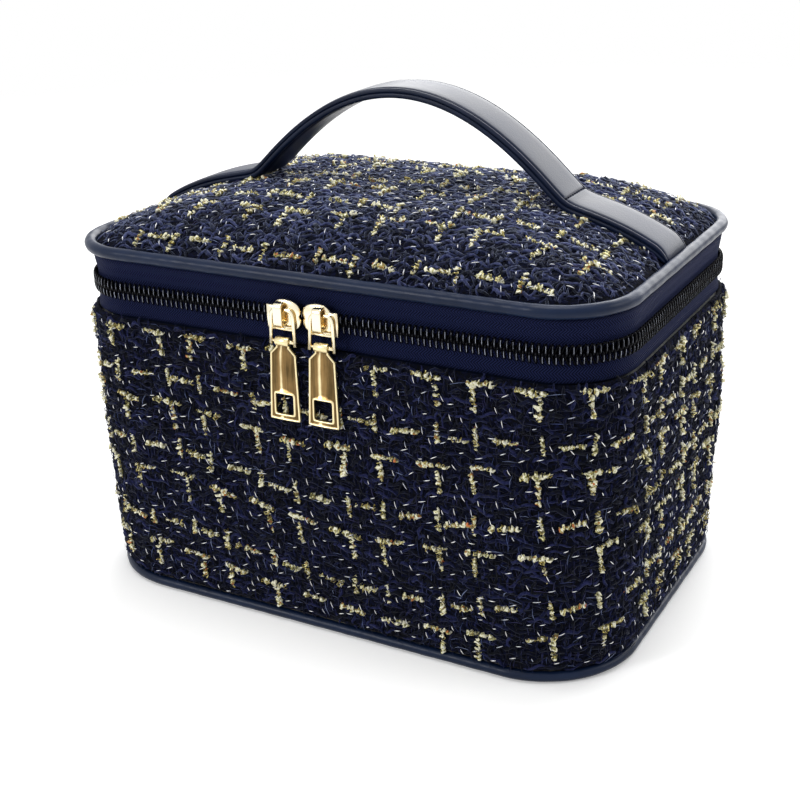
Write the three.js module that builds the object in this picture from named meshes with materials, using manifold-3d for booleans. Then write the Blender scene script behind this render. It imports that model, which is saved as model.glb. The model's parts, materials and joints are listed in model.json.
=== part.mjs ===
// Tweed vanity case with a domed zip-round lid, a strap handle and two zip sliders with hanging tabs.
// Millimetres, +Z up, front towards -Y, origin at the middle of the base on the surface it stands on.
// Offsets are measured outwards from the outline that a piece follows, so a negative one lies inside it.

import * as THREE from 'three';
import { mergeVertices } from 'three/addons/utils/BufferGeometryUtils.js';
import Module from 'manifold-3d';

const wasm = await Module();
wasm.setup();

// Case outline at the zip, at the base and at the lid's rim
const mouthWidth = 209;
const mouthDepth = 132.6;
const mouthCornerRadius = 26;
const baseWidth = 208;
const baseDepth = 141;
const baseCornerRadius = 34;
const rimWidth = 206;
const rimDepth = 134;
const rimCornerRadius = 25;

// Heights that the pieces are set out from, each one over the one before
const wallTop = 105;
const zipOverWall = 9.5;
const rimOverZip = 13.9;
const zipHeight = wallTop + zipOverWall;
const rimHeight = zipHeight + rimOverZip;
const domeRise = 15.5;
const domePower = 4;

// Layers of the wall, the base and the lid
const seatGap = 0.3;
const tweedThickness = 2.2;
const foamThickness = 3;
const liningThickness = 1;
const wallBulge = 1.5;
const tweedStandOut = 0.9;
const baseCoverThickness = 1.6;
const boardThickness = 2;
const basePipingRadius = 1.8;
const basePipingInset = 0.6;
const basePipingLift = 0.2;
const rimPipingRadius = 2.2;
const tweedRimLift = 0.6;
const padInset = 0.8;

// Zip chain: two rows of teeth on the outer face of two tapes
const toothPitch = 2.7;
const toothHeight = 1.4;
const toothMesh = 0.45;
const toothTaper = 0.35;
const rowWidth = 3.6;
const rowThickness = 1.5;
const sliderSlit = 1.1;
const slitFade = 6;
const tapeThickness = 0.8;
const tapeEdgeInset = 1.2;
const tapeSeamInset = 0.9;
const tapeRimInset = 0.6;

// Bound seams inside the mouth and the lid, and the fabric hinge at the back
const bindingInset = 2.7;
const bindingWidth = 3.5;
const mouthBindingHeight = 4.2;
const lidBindingHeight = 2.2;
const bindingRound = 0.8;
const hingePanelThickness = 1.8;
const hingePanelInset = 0.4;

// Handle strap: an arch between the two places where it leaves the lid
const strapWidth = 20;
const strapTopThickness = 1.2;
const strapCoreThickness = 0.8;
const strapUnderThickness = 1.2;
const strapHemWidth = 2;
const archRise = 34;
const archHalfSpan = 61;
const archShift = 3.5;
const archBlend = 3;
const strapEndInset = 0.8;

// Sliders, bails and tabs
const leftSliderPlace = -9.3;
const rightSliderPlace = 4.8;
const sliderLength = 13.4;
const sliderTopReach = 6.6;
const sliderBottomReach = 4.6;
const sliderNarrowHeight = 8.4;
const sliderNotchHeight = 2.2;
const sliderPlateThickness = 1.4;
const sliderClearance = 0.3;
const innerPlateClearance = 0.5;
const innerPlateThickness = 1.2;
const postThickness = 0.5;
const postLength = 3.2;
const flangeThickness = 0.7;
const flangeDepth = 1.2;
const pivotRise = 3.4;
const crownHeight = 8.4;
const crownWidth = 3.4;
const crownShift = 0.5;
const crownWall = 0.9;
const tunnelHalf = 1.05;
const wireThickness = 1.2;
const bailTopWidth = 9.6;
const bailFootWidth = 11;
const bailLegWidth = 1.5;
const bailLength = 11;
const bailFoot = 1.6;
const bailPlay = 0.9;
const bailCornerRadius = 2.8;
const crossbarDrop = 6.1;
const crossbarHeight = 1;
const pinRadius = 0.55;
const pinReach = 2.2;
const tabNeckWidth = 5.2;
const tabNeckLength = 1.9;
const tabShoulderDrop = 2.4;
const tabShoulderWidth = 10;
const tabBottomWidth = 11.8;
const tabLength = 27.6;
const tabThickness = 1.2;
const tabWindow = 7;
const tabBottomBar = 2.2;
const tabRimWidth = 0.8;
const tabRimHeight = 0.4;
const tabWallClearance = 1.1;
const barrelRadius = 1.6;
const barrelBoreRadius = 0.85;
const cutOverrun = 1;

// Fineness of curved pieces, as counts
const cornerSteps = 6;
const pipingSides = 8;
const strapSteps = 36;
const arcSteps = 4;
const pinSides = 8;

// Finishes of the pieces
const tweedNavy = finish('#161d40', 0.95, 0);
const leatherNavy = finish('#1c2748', 0.4, 0);
const foamGrey = finish('#c9c9c4', 0.9, 0);
const liningNavy = finish('#202a4c', 0.7, 0);
const boardGrey = finish('#8c8579', 0.85, 0);
const tapeNavy = finish('#121a3a', 0.85, 0);
const toothBlack = finish('#15161d', 0.45, 0);
const lightGold = finish('#d9b878', 0.22, 1);

function finish(colour, roughness, metalness) {
  return new THREE.MeshStandardMaterial({ color: colour, roughness, metalness });
}

// Solids: lofts through rings of points, and unions and cuts of closed solids

function loft(rings, isLoop) {
  const count = rings[0].length;
  const positions = rings.flat().flatMap((point) => point.toArray());
  const index = [];
  const bands = isLoop ? rings.length : rings.length - 1;
  for (let band = 0; band < bands; band++) {
    const near = band * count;
    const far = ((band + 1) % rings.length) * count;
    for (let i = 0; i < count; i++) {
      const j = (i + 1) % count;
      index.push(near + i, near + j, far + j, near + i, far + j, far + i);
    }
  }
  if (!isLoop) {
    addCap(positions, index, rings[0], 0, true);
    addCap(positions, index, rings[rings.length - 1], (rings.length - 1) * count, false);
  }
  const geometry = new THREE.BufferGeometry();
  geometry.setAttribute('position', new THREE.Float32BufferAttribute(positions, 3));
  geometry.setIndex(index);
  return facingOut(geometry);
}

function addCap(positions, index, ring, first, isStart) {
  const middle = new THREE.Vector3();
  ring.forEach((point) => middle.addScaledVector(point, 1 / ring.length));
  const hub = positions.length / 3;
  positions.push(...middle.toArray());
  for (let i = 0; i < ring.length; i++) {
    const j = (i + 1) % ring.length;
    const [from, to] = isStart ? [j, i] : [i, j];
    index.push(hub, first + from, first + to);
  }
}

function facingOut(geometry) {
  const place = geometry.getAttribute('position');
  const index = geometry.getIndex();
  const corners = [new THREE.Vector3(), new THREE.Vector3(), new THREE.Vector3()];
  let volume = 0;
  for (let i = 0; i < index.count; i += 3) {
    corners.forEach((corner, k) => corner.fromBufferAttribute(place, index.getX(i + k)));
    volume += corners[0].dot(corners[1].cross(corners[2]));
  }
  if (volume < 0) {
    const turned = Array.from(index.array).reverse();
    geometry.setIndex(turned);
  }
  return geometry;
}

function toSolid(geometry) {
  const bare = geometry.clone();
  bare.deleteAttribute('normal');
  bare.deleteAttribute('uv');
  const merged = mergeVertices(bare);
  return new wasm.Manifold(new wasm.Mesh({
    numProp: 3,
    vertProperties: new Float32Array(merged.getAttribute('position').array),
    triVerts: new Uint32Array(merged.getIndex().array),
  }));
}

function toGeometry(solid) {
  const mesh = solid.getMesh();
  const geometry = new THREE.BufferGeometry();
  geometry.setAttribute('position', new THREE.Float32BufferAttribute(mesh.vertProperties, 3));
  geometry.setIndex(Array.from(mesh.triVerts));
  return geometry;
}

function joined(geometries) {
  return geometries.map(toSolid).reduce((whole, piece) => whole.add(piece));
}

// Outlines: a rounded rectangle as points with their outward directions

function roundedOutline(width, depth, radius) {
  const points = [];
  const corners = [[-1, 1], [-1, -1], [1, -1], [1, 1]];
  corners.forEach(([sideX, sideY], corner) => {
    for (let step = 0; step <= cornerSteps; step++) {
      const angle = Math.PI / 2 * (1 + corner + step / cornerSteps);
      const outX = Math.cos(angle);
      const outY = Math.sin(angle);
      points.push({
        x: sideX * (width / 2 - radius) + radius * outX,
        y: sideY * (depth / 2 - radius) + radius * outY,
        outX,
        outY,
      });
    }
  });
  return points;
}

function placed(point, offset, height) {
  return new THREE.Vector3(point.x + offset * point.outX, point.y + offset * point.outY, height);
}

function ringAt(outline, offset, height) {
  return outline.map((point) => placed(point, offset, height));
}

const mouthOutline = roundedOutline(mouthWidth, mouthDepth, mouthCornerRadius);
const rimOutline = roundedOutline(rimWidth, rimDepth, rimCornerRadius);
const baseOutline = roundedOutline(baseWidth, baseDepth, baseCornerRadius);

// The tweed wall's outer outline, which flares from the mouth to the base and bulges between them
function wallOutline(height) {
  const rise = height / wallTop;
  const bulge = wallBulge * Math.sin(Math.PI * rise);
  const blend = (low, high) => THREE.MathUtils.lerp(low, high, rise);
  return roundedOutline(
    blend(baseWidth, mouthWidth + 2 * tweedStandOut) + 2 * bulge,
    blend(baseDepth, mouthDepth + 2 * tweedStandOut) + 2 * bulge,
    blend(baseCornerRadius, mouthCornerRadius + tweedStandOut) + bulge,
  );
}

// Body: base, wall layers and their edges

const basePipingHeight = basePipingLift + basePipingRadius;
const wallBottom = basePipingHeight + basePipingRadius + seatGap;
const boardBottom = baseCoverThickness + seatGap;
const boardTop = boardBottom + boardThickness;
const layerBottom = Math.max(boardTop + seatGap, wallBottom);
const wallLevelShares = [0.25, 0.5, 0.75];

function wallLevels(bottom, top) {
  const between = wallLevelShares.map((share) => THREE.MathUtils.lerp(bottom, top, share));
  return [bottom, ...between, top];
}

function wallLayer(inset, thickness, bottom, top) {
  const levels = wallLevels(bottom, top);
  const outer = levels.map((height) => ringAt(wallOutline(height), -inset, height));
  const inner = levels.map((height) => ringAt(wallOutline(height), -inset - thickness, height));
  return loft([...outer, ...inner.reverse()], true);
}

// The tweed turns in at both ends, to the piping below and to the zip tape above
function tweedWall() {
  const turn = tweedThickness / 2;
  const levels = wallLevels(wallBottom + turn, wallTop - turn);
  const outer = levels.map((height) => ringAt(wallOutline(height), 0, height));
  const inner = levels.map((height) => ringAt(wallOutline(height), -tweedThickness, height));
  const bottomEdge = ringAt(wallOutline(wallBottom), -turn, wallBottom);
  const topEdge = ringAt(wallOutline(wallTop), -turn, wallTop);
  return loft([bottomEdge, ...outer, topEdge, ...inner.reverse()], true);
}

function plate(outline, offset, bottom, thickness) {
  return loft([ringAt(outline, offset, bottom), ringAt(outline, offset, bottom + thickness)], false);
}

function piping(outline, offset, height, radius) {
  const rings = [];
  for (let side = 0; side < pipingSides; side++) {
    const angle = 2 * Math.PI * (side + 1 / 2) / pipingSides;
    rings.push(ringAt(outline, offset + radius * Math.cos(angle), height + radius * Math.sin(angle)));
  }
  return loft(rings, true);
}

function bindingRing(bottom, top) {
  const outer = -bindingInset;
  const inner = -bindingInset - bindingWidth;
  const section = [
    [outer, bottom + bindingRound],
    [outer, top - bindingRound],
    [outer - bindingRound, top],
    [inner + bindingRound, top],
    [inner, top - bindingRound],
    [inner, bottom + bindingRound],
    [inner + bindingRound, bottom],
    [outer - bindingRound, bottom],
  ];
  return loft(section.map(([offset, height]) => ringAt(mouthOutline, offset, height)), true);
}

// Zip: tapes and rows run from one end of the fabric hinge round the front to the other end

function stripAround(section) {
  return loft(mouthOutline.map((point) => section.map(([offset, height]) => (
    placed(point, offset, height)))), false);
}

// The tape lies flat behind its row of teeth and then leans out to its seam
function zipTape(side, seamHeight, seamInset) {
  const behindRow = -rowThickness - seatGap;
  const knee = zipHeight + side * (rowWidth + seatGap);
  const edge = zipHeight + side * tapeEdgeInset;
  return stripAround([
    [behindRow, edge],
    [behindRow, knee],
    [-seamInset, seamHeight],
    [-seamInset - tapeThickness, seamHeight],
    [behindRow - tapeThickness, knee],
    [behindRow - tapeThickness, edge],
  ]);
}

const cornerLength = Math.PI / 2 * mouthCornerRadius;
const sideRun = mouthDepth - 2 * mouthCornerRadius;
const frontRun = mouthWidth - 2 * mouthCornerRadius;
const zipRuns = [cornerLength, sideRun, cornerLength, frontRun, cornerLength, sideRun, cornerLength];
const zipLength = zipRuns.reduce((total, run) => total + run);

function cornerPoint(corner, share) {
  const angle = Math.PI / 2 * (1 + corner + share);
  const sideX = corner < 2 ? -1 : 1;
  const sideY = corner === 1 || corner === 2 ? -1 : 1;
  const outX = Math.cos(angle);
  const outY = Math.sin(angle);
  return {
    x: sideX * frontRun / 2 + mouthCornerRadius * outX,
    y: sideY * sideRun / 2 + mouthCornerRadius * outY,
    outX,
    outY,
  };
}

function zipPoint(distance) {
  let left = distance;
  let run = 0;
  while (run < zipRuns.length - 1 && left > zipRuns[run]) {
    left -= zipRuns[run];
    run += 1;
  }
  const corner = Math.floor(run / 2);
  if (run % 2 === 0) {
    return cornerPoint(corner, left / cornerLength);
  }
  const start = cornerPoint(corner, 1);
  return { ...start, x: start.x - left * start.outY, y: start.y + left * start.outX };
}

// 1 where the rows stand apart, along the sliders' run and beside the hinge, and 0 where they mesh
function apartShare(distance) {
  const fromFront = Math.abs(distance - zipLength / 2) - frontRun / 2;
  const fromHinge = Math.min(distance, zipLength - distance) - cornerLength;
  const beyond = Math.min(fromFront, fromHinge);
  return 1 - THREE.MathUtils.clamp(beyond / slitFade, 0, 1);
}

function zipRow(side) {
  const steps = 2 * Math.round(zipLength / toothPitch);
  const stations = [];
  for (let step = 0; step <= steps; step++) {
    const distance = zipLength * step / steps;
    const point = zipPoint(distance);
    const isTooth = (step % 2 === 0) === (side < 0);
    const tip = THREE.MathUtils.lerp(toothMesh, -sliderSlit / 2, apartShare(distance));
    const reach = isTooth ? tip : tip - toothHeight;
    const rootHeight = zipHeight + side * rowWidth;
    const tipHeight = zipHeight - side * reach;
    stations.push([
      placed(point, 0, rootHeight),
      placed(point, -rowThickness, rootHeight),
      placed(point, -rowThickness + toothTaper, tipHeight),
      placed(point, -toothTaper, tipHeight),
    ]);
  }
  return loft(stations, false);
}

// Fabric hinge: a straight panel across the back, folded at the height of the zip
function hingePanel(bottom, top) {
  const halfLength = frontRun / 2 - seatGap;
  const outer = mouthDepth / 2 - hingePanelInset;
  const inner = outer - hingePanelThickness;
  const round = hingePanelThickness / 4;
  const section = [
    [outer, bottom + round],
    [outer, top - round],
    [outer - round, top],
    [inner, top],
    [inner, bottom],
    [outer - round, bottom],
  ];
  const ends = [-halfLength, halfLength];
  return loft(ends.map((x) => section.map(([y, z]) => new THREE.Vector3(x, y, z))), false);
}

// Lid: a crowned panel of tweed, foam and lining inside the piping

const panelInset = rimPipingRadius + seatGap;
const panelWidth = rimWidth - 2 * panelInset;
const panelDepth = rimDepth - 2 * panelInset;
const panelCornerRadius = rimCornerRadius - panelInset;
const tweedRimHeight = rimHeight + tweedRimLift;
const domeRingShares = [0.06, 0.3, 0.52, 0.7, 0.84, 0.94, 1];

function domeHeight(share) {
  return tweedRimHeight + domeRise * (1 - share ** domePower);
}

function domeLayer(drop, thickness, inset) {
  const ring = (share, below) => ringAt(
    roundedOutline(panelWidth * share, panelDepth * share, panelCornerRadius * share),
    -inset * share,
    domeHeight(share) - below,
  );
  const outer = domeRingShares.map((share) => ring(share, drop));
  const inner = domeRingShares.map((share) => ring(share, drop + thickness));
  return loft([...outer, ...inner.reverse()], false);
}

const foamDrop = tweedThickness + seatGap;
const liningDrop = foamDrop + foamThickness + seatGap;
const lidLayersBottom = tweedRimHeight - liningDrop - liningThickness;

// Handle: each layer is a band whose height over the case follows one formula

const strapThickness = strapTopThickness + strapCoreThickness + strapUnderThickness + 2 * seatGap;
const strapEnd = panelWidth / 2 - strapEndInset;
const strapLift = seatGap + strapThickness / 2;

function strapHeight(x) {
  const resting = domeHeight(Math.abs(x) / (panelWidth / 2)) + strapLift;
  const kinkHeight = domeHeight(archHalfSpan / (panelWidth / 2)) + strapLift;
  const arch = kinkHeight + archRise * (1 - ((x - archShift) / archHalfSpan) ** 2);
  return (resting + arch + Math.hypot(resting - arch, archBlend)) / 2;
}

function strapLayer(fromBottom, thickness, width) {
  const stations = [];
  const probe = strapEnd / strapSteps;
  for (let step = 0; step <= strapSteps; step++) {
    const x = strapEnd * (2 * step / strapSteps - 1);
    const slope = (strapHeight(x + probe) - strapHeight(x - probe)) / (2 * probe);
    const up = new THREE.Vector3(-slope, 0, 1).normalize();
    const middle = new THREE.Vector3(x, 0, strapHeight(x));
    const low = fromBottom - strapThickness / 2;
    const side = width / 2;
    const high = low + thickness;
    const corners = [[-side, low], [side, low], [side, high], [-side, high]];
    stations.push(corners.map(([y, lift]) => middle.clone().setY(y).addScaledVector(up, lift)));
  }
  return loft(stations, false);
}

// Sliders: drawn facing the viewer, with x along the zip, y up and z outwards from the mouth's outline.
// A slider's wide end points along facing, which is 1 on the left slider and -1 on the right one.

function facingFront(geometry) {
  return geometry.rotateX(Math.PI / 2);
}

function slab(shape, from, depth) {
  const geometry = new THREE.ExtrudeGeometry(shape, { depth, bevelEnabled: false, curveSegments: arcSteps });
  return geometry.translate(0, 0, from);
}

function block([x0, x1], [y0, y1], [z0, z1]) {
  const geometry = new THREE.BoxGeometry(Math.abs(x1 - x0), y1 - y0, z1 - z0);
  return geometry.translate((x0 + x1) / 2, (y0 + y1) / 2, (z0 + z1) / 2);
}

// A slider plate: square at the narrow end, and round with a small notch at the wide end
function sliderPlate(facing, from, depth, topReach) {
  const along = (share) => facing * share * sliderLength;
  const waistShare = -0.3;
  const bendShare = -0.2;
  const lobeShare = 0.02;
  const notchShare = 0.45;
  const endShare = 0.5;
  const low = -sliderBottomReach;
  const narrow = sliderNarrowHeight / 2;
  const notchMiddle = (topReach - sliderBottomReach) / 2;
  const notchHalf = sliderNotchHeight / 2;
  const shape = new THREE.Shape();
  shape.moveTo(along(-endShare), -narrow);
  shape.lineTo(along(waistShare), -narrow);
  shape.quadraticCurveTo(along(bendShare), low, along(lobeShare), low);
  shape.quadraticCurveTo(along(endShare), low, along(endShare), notchMiddle - notchHalf);
  shape.lineTo(along(notchShare), notchMiddle);
  shape.lineTo(along(endShare), notchMiddle + notchHalf);
  shape.quadraticCurveTo(along(endShare), topReach, along(lobeShare), topReach);
  shape.quadraticCurveTo(along(bendShare), topReach, along(waistShare), narrow);
  shape.lineTo(along(-endShare), narrow);
  return slab(shape, from, depth);
}

const outerPlateFace = sliderClearance + sliderPlateThickness;
const tapeInnerFace = -rowThickness - seatGap - tapeThickness;
const innerPlateFace = tapeInnerFace - innerPlateClearance;
const pivotOut = outerPlateFace + tunnelHalf;

// A bridge up the middle of the outer plate, with a long tunnel in whose top end the bail's bar sits
function crown() {
  const out = pivotOut + tunnelHalf + crownWall;
  const slope = crownWall / 2;
  const foot = outerPlateFace - crownWall;
  const tunnelTop = pivotRise + tunnelHalf;
  const high = tunnelTop + crownWall + slope;
  const low = high - crownHeight;
  const tunnelBottom = low + crownWall + slope;
  const shape = new THREE.Shape();
  shape.moveTo(low, foot);
  shape.lineTo(high, foot);
  shape.lineTo(high - slope, out - crownWall);
  shape.lineTo(high - crownWall - slope, out);
  shape.lineTo(low + crownWall + slope, out);
  shape.lineTo(low + slope, out - crownWall);
  const tunnel = new THREE.Path();
  tunnel.moveTo(tunnelBottom, outerPlateFace);
  tunnel.lineTo(tunnelBottom, pivotOut + tunnelHalf);
  tunnel.lineTo(tunnelTop, pivotOut + tunnelHalf);
  tunnel.lineTo(tunnelTop, outerPlateFace);
  shape.holes.push(tunnel);
  const turn = new THREE.Matrix4().makeBasis(
    new THREE.Vector3(0, 1, 0),
    new THREE.Vector3(0, 0, 1),
    new THREE.Vector3(1, 0, 0),
  );
  return slab(shape, -crownWidth / 2, crownWidth).applyMatrix4(turn);
}

// The post stands between the rows, and the lower lip holds the body's row of teeth
function sliderBody(facing) {
  const postShare = 0.38;
  const lipShares = [-0.05, 0.25];
  const postEnd = facing * postShare * sliderLength;
  const lipTop = -rowWidth - sliderClearance;
  const insidePlate = sliderClearance + sliderPlateThickness / 2;
  const pieces = [
    sliderPlate(facing, sliderClearance, sliderPlateThickness, sliderTopReach),
    sliderPlate(facing, innerPlateFace - innerPlateThickness, innerPlateThickness, sliderBottomReach),
    block(
      [postEnd - facing * postLength, postEnd],
      [-postThickness / 2, postThickness / 2],
      [innerPlateFace - innerPlateThickness / 2, insidePlate],
    ),
    block(
      lipShares.map((share) => facing * share * sliderLength),
      [lipTop - flangeThickness, lipTop],
      [sliderClearance - flangeDepth, insidePlate],
    ),
    crown().translate(-facing * crownShift, 0, 0),
  ];
  return facingFront(toGeometry(joined(pieces)));
}

// The bail: an inverted U of flat wire with a crossbar, and a pin turned inwards at each foot.
// Its legs spread a little towards the feet.
function bail() {
  const half = wireThickness / 2;
  const foot = -bailLength - bailFoot;
  const spread = (height) => (half - height) / (half - foot);
  const outer = (height) => THREE.MathUtils.lerp(bailTopWidth, bailFootWidth, spread(height)) / 2;
  const inner = (height) => outer(height) - bailLegWidth;
  const barTop = -crossbarDrop;
  const barBottom = barTop - crossbarHeight;
  const innerRadius = bailCornerRadius - bailLegWidth;
  const bend = half - bailCornerRadius;
  const innerBend = -half - innerRadius;
  const shape = new THREE.Shape();
  shape.moveTo(-outer(foot), foot);
  shape.lineTo(-inner(foot), foot);
  shape.lineTo(-inner(barBottom), barBottom);
  shape.lineTo(inner(barBottom), barBottom);
  shape.lineTo(inner(foot), foot);
  shape.lineTo(outer(foot), foot);
  shape.lineTo(outer(bend), bend);
  shape.quadraticCurveTo(outer(half), half, outer(half) - bailCornerRadius, half);
  shape.lineTo(-outer(half) + bailCornerRadius, half);
  shape.quadraticCurveTo(-outer(half), half, -outer(bend), bend);
  const opening = new THREE.Path();
  opening.moveTo(-inner(barTop), barTop);
  opening.lineTo(-inner(innerBend), innerBend);
  opening.quadraticCurveTo(-inner(-half), -half, -inner(-half) + innerRadius, -half);
  opening.lineTo(inner(-half) - innerRadius, -half);
  opening.quadraticCurveTo(inner(-half), -half, inner(innerBend), innerBend);
  opening.lineTo(inner(barTop), barTop);
  shape.holes.push(opening);
  const pinEnd = tabNeckWidth / 2 - pinReach;
  const pins = [-1, 1].map((side) => {
    const length = outer(-bailLength) - bailLegWidth / 2 - pinEnd;
    const pin = new THREE.CylinderGeometry(pinRadius, pinRadius, length, pinSides).rotateZ(Math.PI / 2);
    return pin.translate(side * (pinEnd + length / 2), -bailLength, 0);
  });
  return facingFront(toGeometry(joined([slab(shape, -half, wireThickness), ...pins])));
}

// The tab: a flat pull with raised rims and a square window, turning on the bail's pins
function tab() {
  const bottom = -tabLength;
  const windowBottom = bottom + tabBottomBar;
  const windowTop = windowBottom + tabWindow;
  const neck = tabNeckWidth / 2;
  const shoulder = tabShoulderWidth / 2;
  const base = tabBottomWidth / 2;
  const shoulderHeight = -tabNeckLength - tabShoulderDrop;
  const face = -tabThickness / 2;
  const outline = (inset) => {
    const shape = new THREE.Shape();
    shape.moveTo(-neck + inset, -inset);
    shape.lineTo(-neck + inset, -tabNeckLength);
    shape.lineTo(-shoulder + inset, shoulderHeight);
    shape.lineTo(-base + inset, bottom + inset);
    shape.lineTo(base - inset, bottom + inset);
    shape.lineTo(shoulder - inset, shoulderHeight);
    shape.lineTo(neck - inset, -tabNeckLength);
    shape.lineTo(neck - inset, -inset);
    return shape;
  };
  const square = (grow) => {
    const half = tabWindow / 2 + grow;
    const hole = new THREE.Path();
    hole.moveTo(-half, windowBottom - grow);
    hole.lineTo(half, windowBottom - grow);
    hole.lineTo(half, windowTop + grow);
    hole.lineTo(-half, windowTop + grow);
    return hole;
  };
  const flat = outline(0);
  flat.holes.push(square(0));
  const edgeRim = outline(0);
  edgeRim.holes.push(new THREE.Path(outline(tabRimWidth).getPoints()));
  const windowRim = new THREE.Shape(square(tabRimWidth).getPoints());
  windowRim.holes.push(square(0));
  const raised = tabThickness + tabRimHeight;
  const barrel = new THREE.CylinderGeometry(barrelRadius, barrelRadius, tabNeckWidth, pinSides);
  const boreLength = tabNeckWidth + cutOverrun;
  const bore = new THREE.CylinderGeometry(barrelBoreRadius, barrelBoreRadius, boreLength, pinSides);
  const pull = joined([
    slab(flat, face, tabThickness),
    slab(edgeRim, face, raised),
    slab(windowRim, face, raised),
    barrel.rotateZ(Math.PI / 2),
  ]);
  return facingFront(toGeometry(pull.subtract(toSolid(bore.rotateZ(Math.PI / 2)))));
}

// The bail and the tab hang in one line, tilted out so far that the tab's foot clears the wall's bulge
function hangTilt() {
  const reach = bailLength + tabLength;
  const footHeight = zipHeight + pivotRise - reach;
  const wallHalf = Math.max(...wallOutline(footHeight).map((point) => point.y));
  const tabOut = wallHalf + tabWallClearance + tabThickness / 2;
  return Math.asin((tabOut - mouthDepth / 2 - pivotOut) / reach);
}

// Assembly

function named(name, geometry, material) {
  const mesh = new THREE.Mesh(geometry, material);
  mesh.name = name;
  return mesh;
}

function pullAssembly(name, facing, place) {
  const slider = new THREE.Group();
  slider.position.set(place, -mouthDepth / 2, zipHeight);
  const hanging = new THREE.Group();
  hanging.position.set(-facing * crownShift + bailPlay, -pivotOut, pivotRise);
  hanging.rotation.x = -hangTilt();
  const pull = named(`${name}_tab`, tab(), lightGold);
  pull.position.set(0, 0, -bailLength);
  hanging.add(named(`${name}_bail`, bail(), lightGold), pull);
  slider.add(named(`${name}_body`, sliderBody(facing), lightGold), hanging);
  return slider;
}

function caseBody() {
  const body = new THREE.Group();
  const coverOffset = -basePipingInset - basePipingRadius - seatGap;
  const foamInset = tweedThickness + seatGap;
  const liningInset = foamInset + foamThickness + seatGap;
  const layerTop = wallTop - tweedThickness;
  const bindingBottom = layerTop + seatGap;
  body.add(
    named('base_cover', plate(baseOutline, coverOffset, 0, baseCoverThickness), leatherNavy),
    named('base_board', plate(baseOutline, coverOffset, boardBottom, boardThickness), boardGrey),
    named('base_lining', plate(
      baseOutline, -liningInset - liningThickness - seatGap, layerBottom, liningThickness), liningNavy),
    named('base_piping', piping(
      baseOutline, -basePipingInset, basePipingHeight, basePipingRadius), leatherNavy),
    named('body_tweed_wall', tweedWall(), tweedNavy),
    named('body_foam_wall', wallLayer(foamInset, foamThickness, layerBottom, layerTop), foamGrey),
    named('body_lining_wall', wallLayer(liningInset, liningThickness, layerBottom, layerTop), liningNavy),
    named('mouth_binding', bindingRing(bindingBottom, bindingBottom + mouthBindingHeight), leatherNavy),
    named('zip_tape_lower', zipTape(-1, wallTop + seatGap, tapeSeamInset), tapeNavy),
    named('zip_teeth_lower', zipRow(-1), toothBlack),
    named('hinge_panel_lower', hingePanel(wallTop + seatGap, zipHeight - seatGap), leatherNavy),
  );
  return body;
}

function caseLid() {
  const lid = new THREE.Group();
  const tapeTop = rimHeight - rimPipingRadius - seatGap;
  const bindingTop = lidLayersBottom - seatGap;
  const coreBottom = strapUnderThickness + seatGap;
  const topBottom = coreBottom + strapCoreThickness + seatGap;
  const coreWidth = strapWidth - 2 * strapHemWidth;
  lid.add(
    named('lid_tweed_panel', domeLayer(0, tweedThickness, 0), tweedNavy),
    named('lid_foam', domeLayer(foamDrop, foamThickness, padInset), foamGrey),
    named('lid_lining', domeLayer(liningDrop, liningThickness, padInset), liningNavy),
    named('lid_piping', piping(rimOutline, 0, rimHeight, rimPipingRadius), leatherNavy),
    named('lid_binding', bindingRing(bindingTop - lidBindingHeight, bindingTop), leatherNavy),
    named('zip_tape_upper', zipTape(1, tapeTop, tapeRimInset), tapeNavy),
    named('zip_teeth_upper', zipRow(1), toothBlack),
    named('hinge_panel_upper', hingePanel(zipHeight + seatGap, tapeTop), leatherNavy),
    named('handle_under_leather', strapLayer(0, strapUnderThickness, strapWidth), leatherNavy),
    named('handle_core', strapLayer(coreBottom, strapCoreThickness, coreWidth), foamGrey),
    named('handle_top_leather', strapLayer(topBottom, strapTopThickness, strapWidth), leatherNavy),
  );
  return lid;
}

const vanityCase = new THREE.Group();
vanityCase.add(
  caseBody(),
  caseLid(),
  pullAssembly('slider_left', 1, leftSliderPlace),
  pullAssembly('slider_right', -1, rightSliderPlace),
);

export default vanityCase;
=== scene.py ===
import json
import math

import bpy
import numpy as np
from mathutils import Matrix, Vector

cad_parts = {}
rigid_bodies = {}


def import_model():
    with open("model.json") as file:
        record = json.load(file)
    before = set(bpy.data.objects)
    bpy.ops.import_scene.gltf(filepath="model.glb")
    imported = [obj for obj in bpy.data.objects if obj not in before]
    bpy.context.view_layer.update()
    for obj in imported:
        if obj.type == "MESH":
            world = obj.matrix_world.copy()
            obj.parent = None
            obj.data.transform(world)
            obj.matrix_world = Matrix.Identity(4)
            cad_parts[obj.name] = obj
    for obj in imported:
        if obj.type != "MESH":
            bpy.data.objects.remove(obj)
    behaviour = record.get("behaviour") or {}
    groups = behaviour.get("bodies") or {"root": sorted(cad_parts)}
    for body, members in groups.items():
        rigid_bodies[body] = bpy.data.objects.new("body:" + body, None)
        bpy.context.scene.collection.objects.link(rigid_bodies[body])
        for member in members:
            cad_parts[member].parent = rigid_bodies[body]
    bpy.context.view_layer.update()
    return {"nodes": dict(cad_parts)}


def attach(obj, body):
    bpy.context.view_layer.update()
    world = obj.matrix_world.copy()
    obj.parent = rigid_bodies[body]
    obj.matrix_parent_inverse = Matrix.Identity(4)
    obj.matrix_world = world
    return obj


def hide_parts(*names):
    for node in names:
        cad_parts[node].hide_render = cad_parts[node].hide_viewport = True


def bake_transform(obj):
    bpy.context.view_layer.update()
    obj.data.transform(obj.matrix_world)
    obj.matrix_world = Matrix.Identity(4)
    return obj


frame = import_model()
scene = bpy.context.scene
nodes = frame["nodes"]


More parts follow.
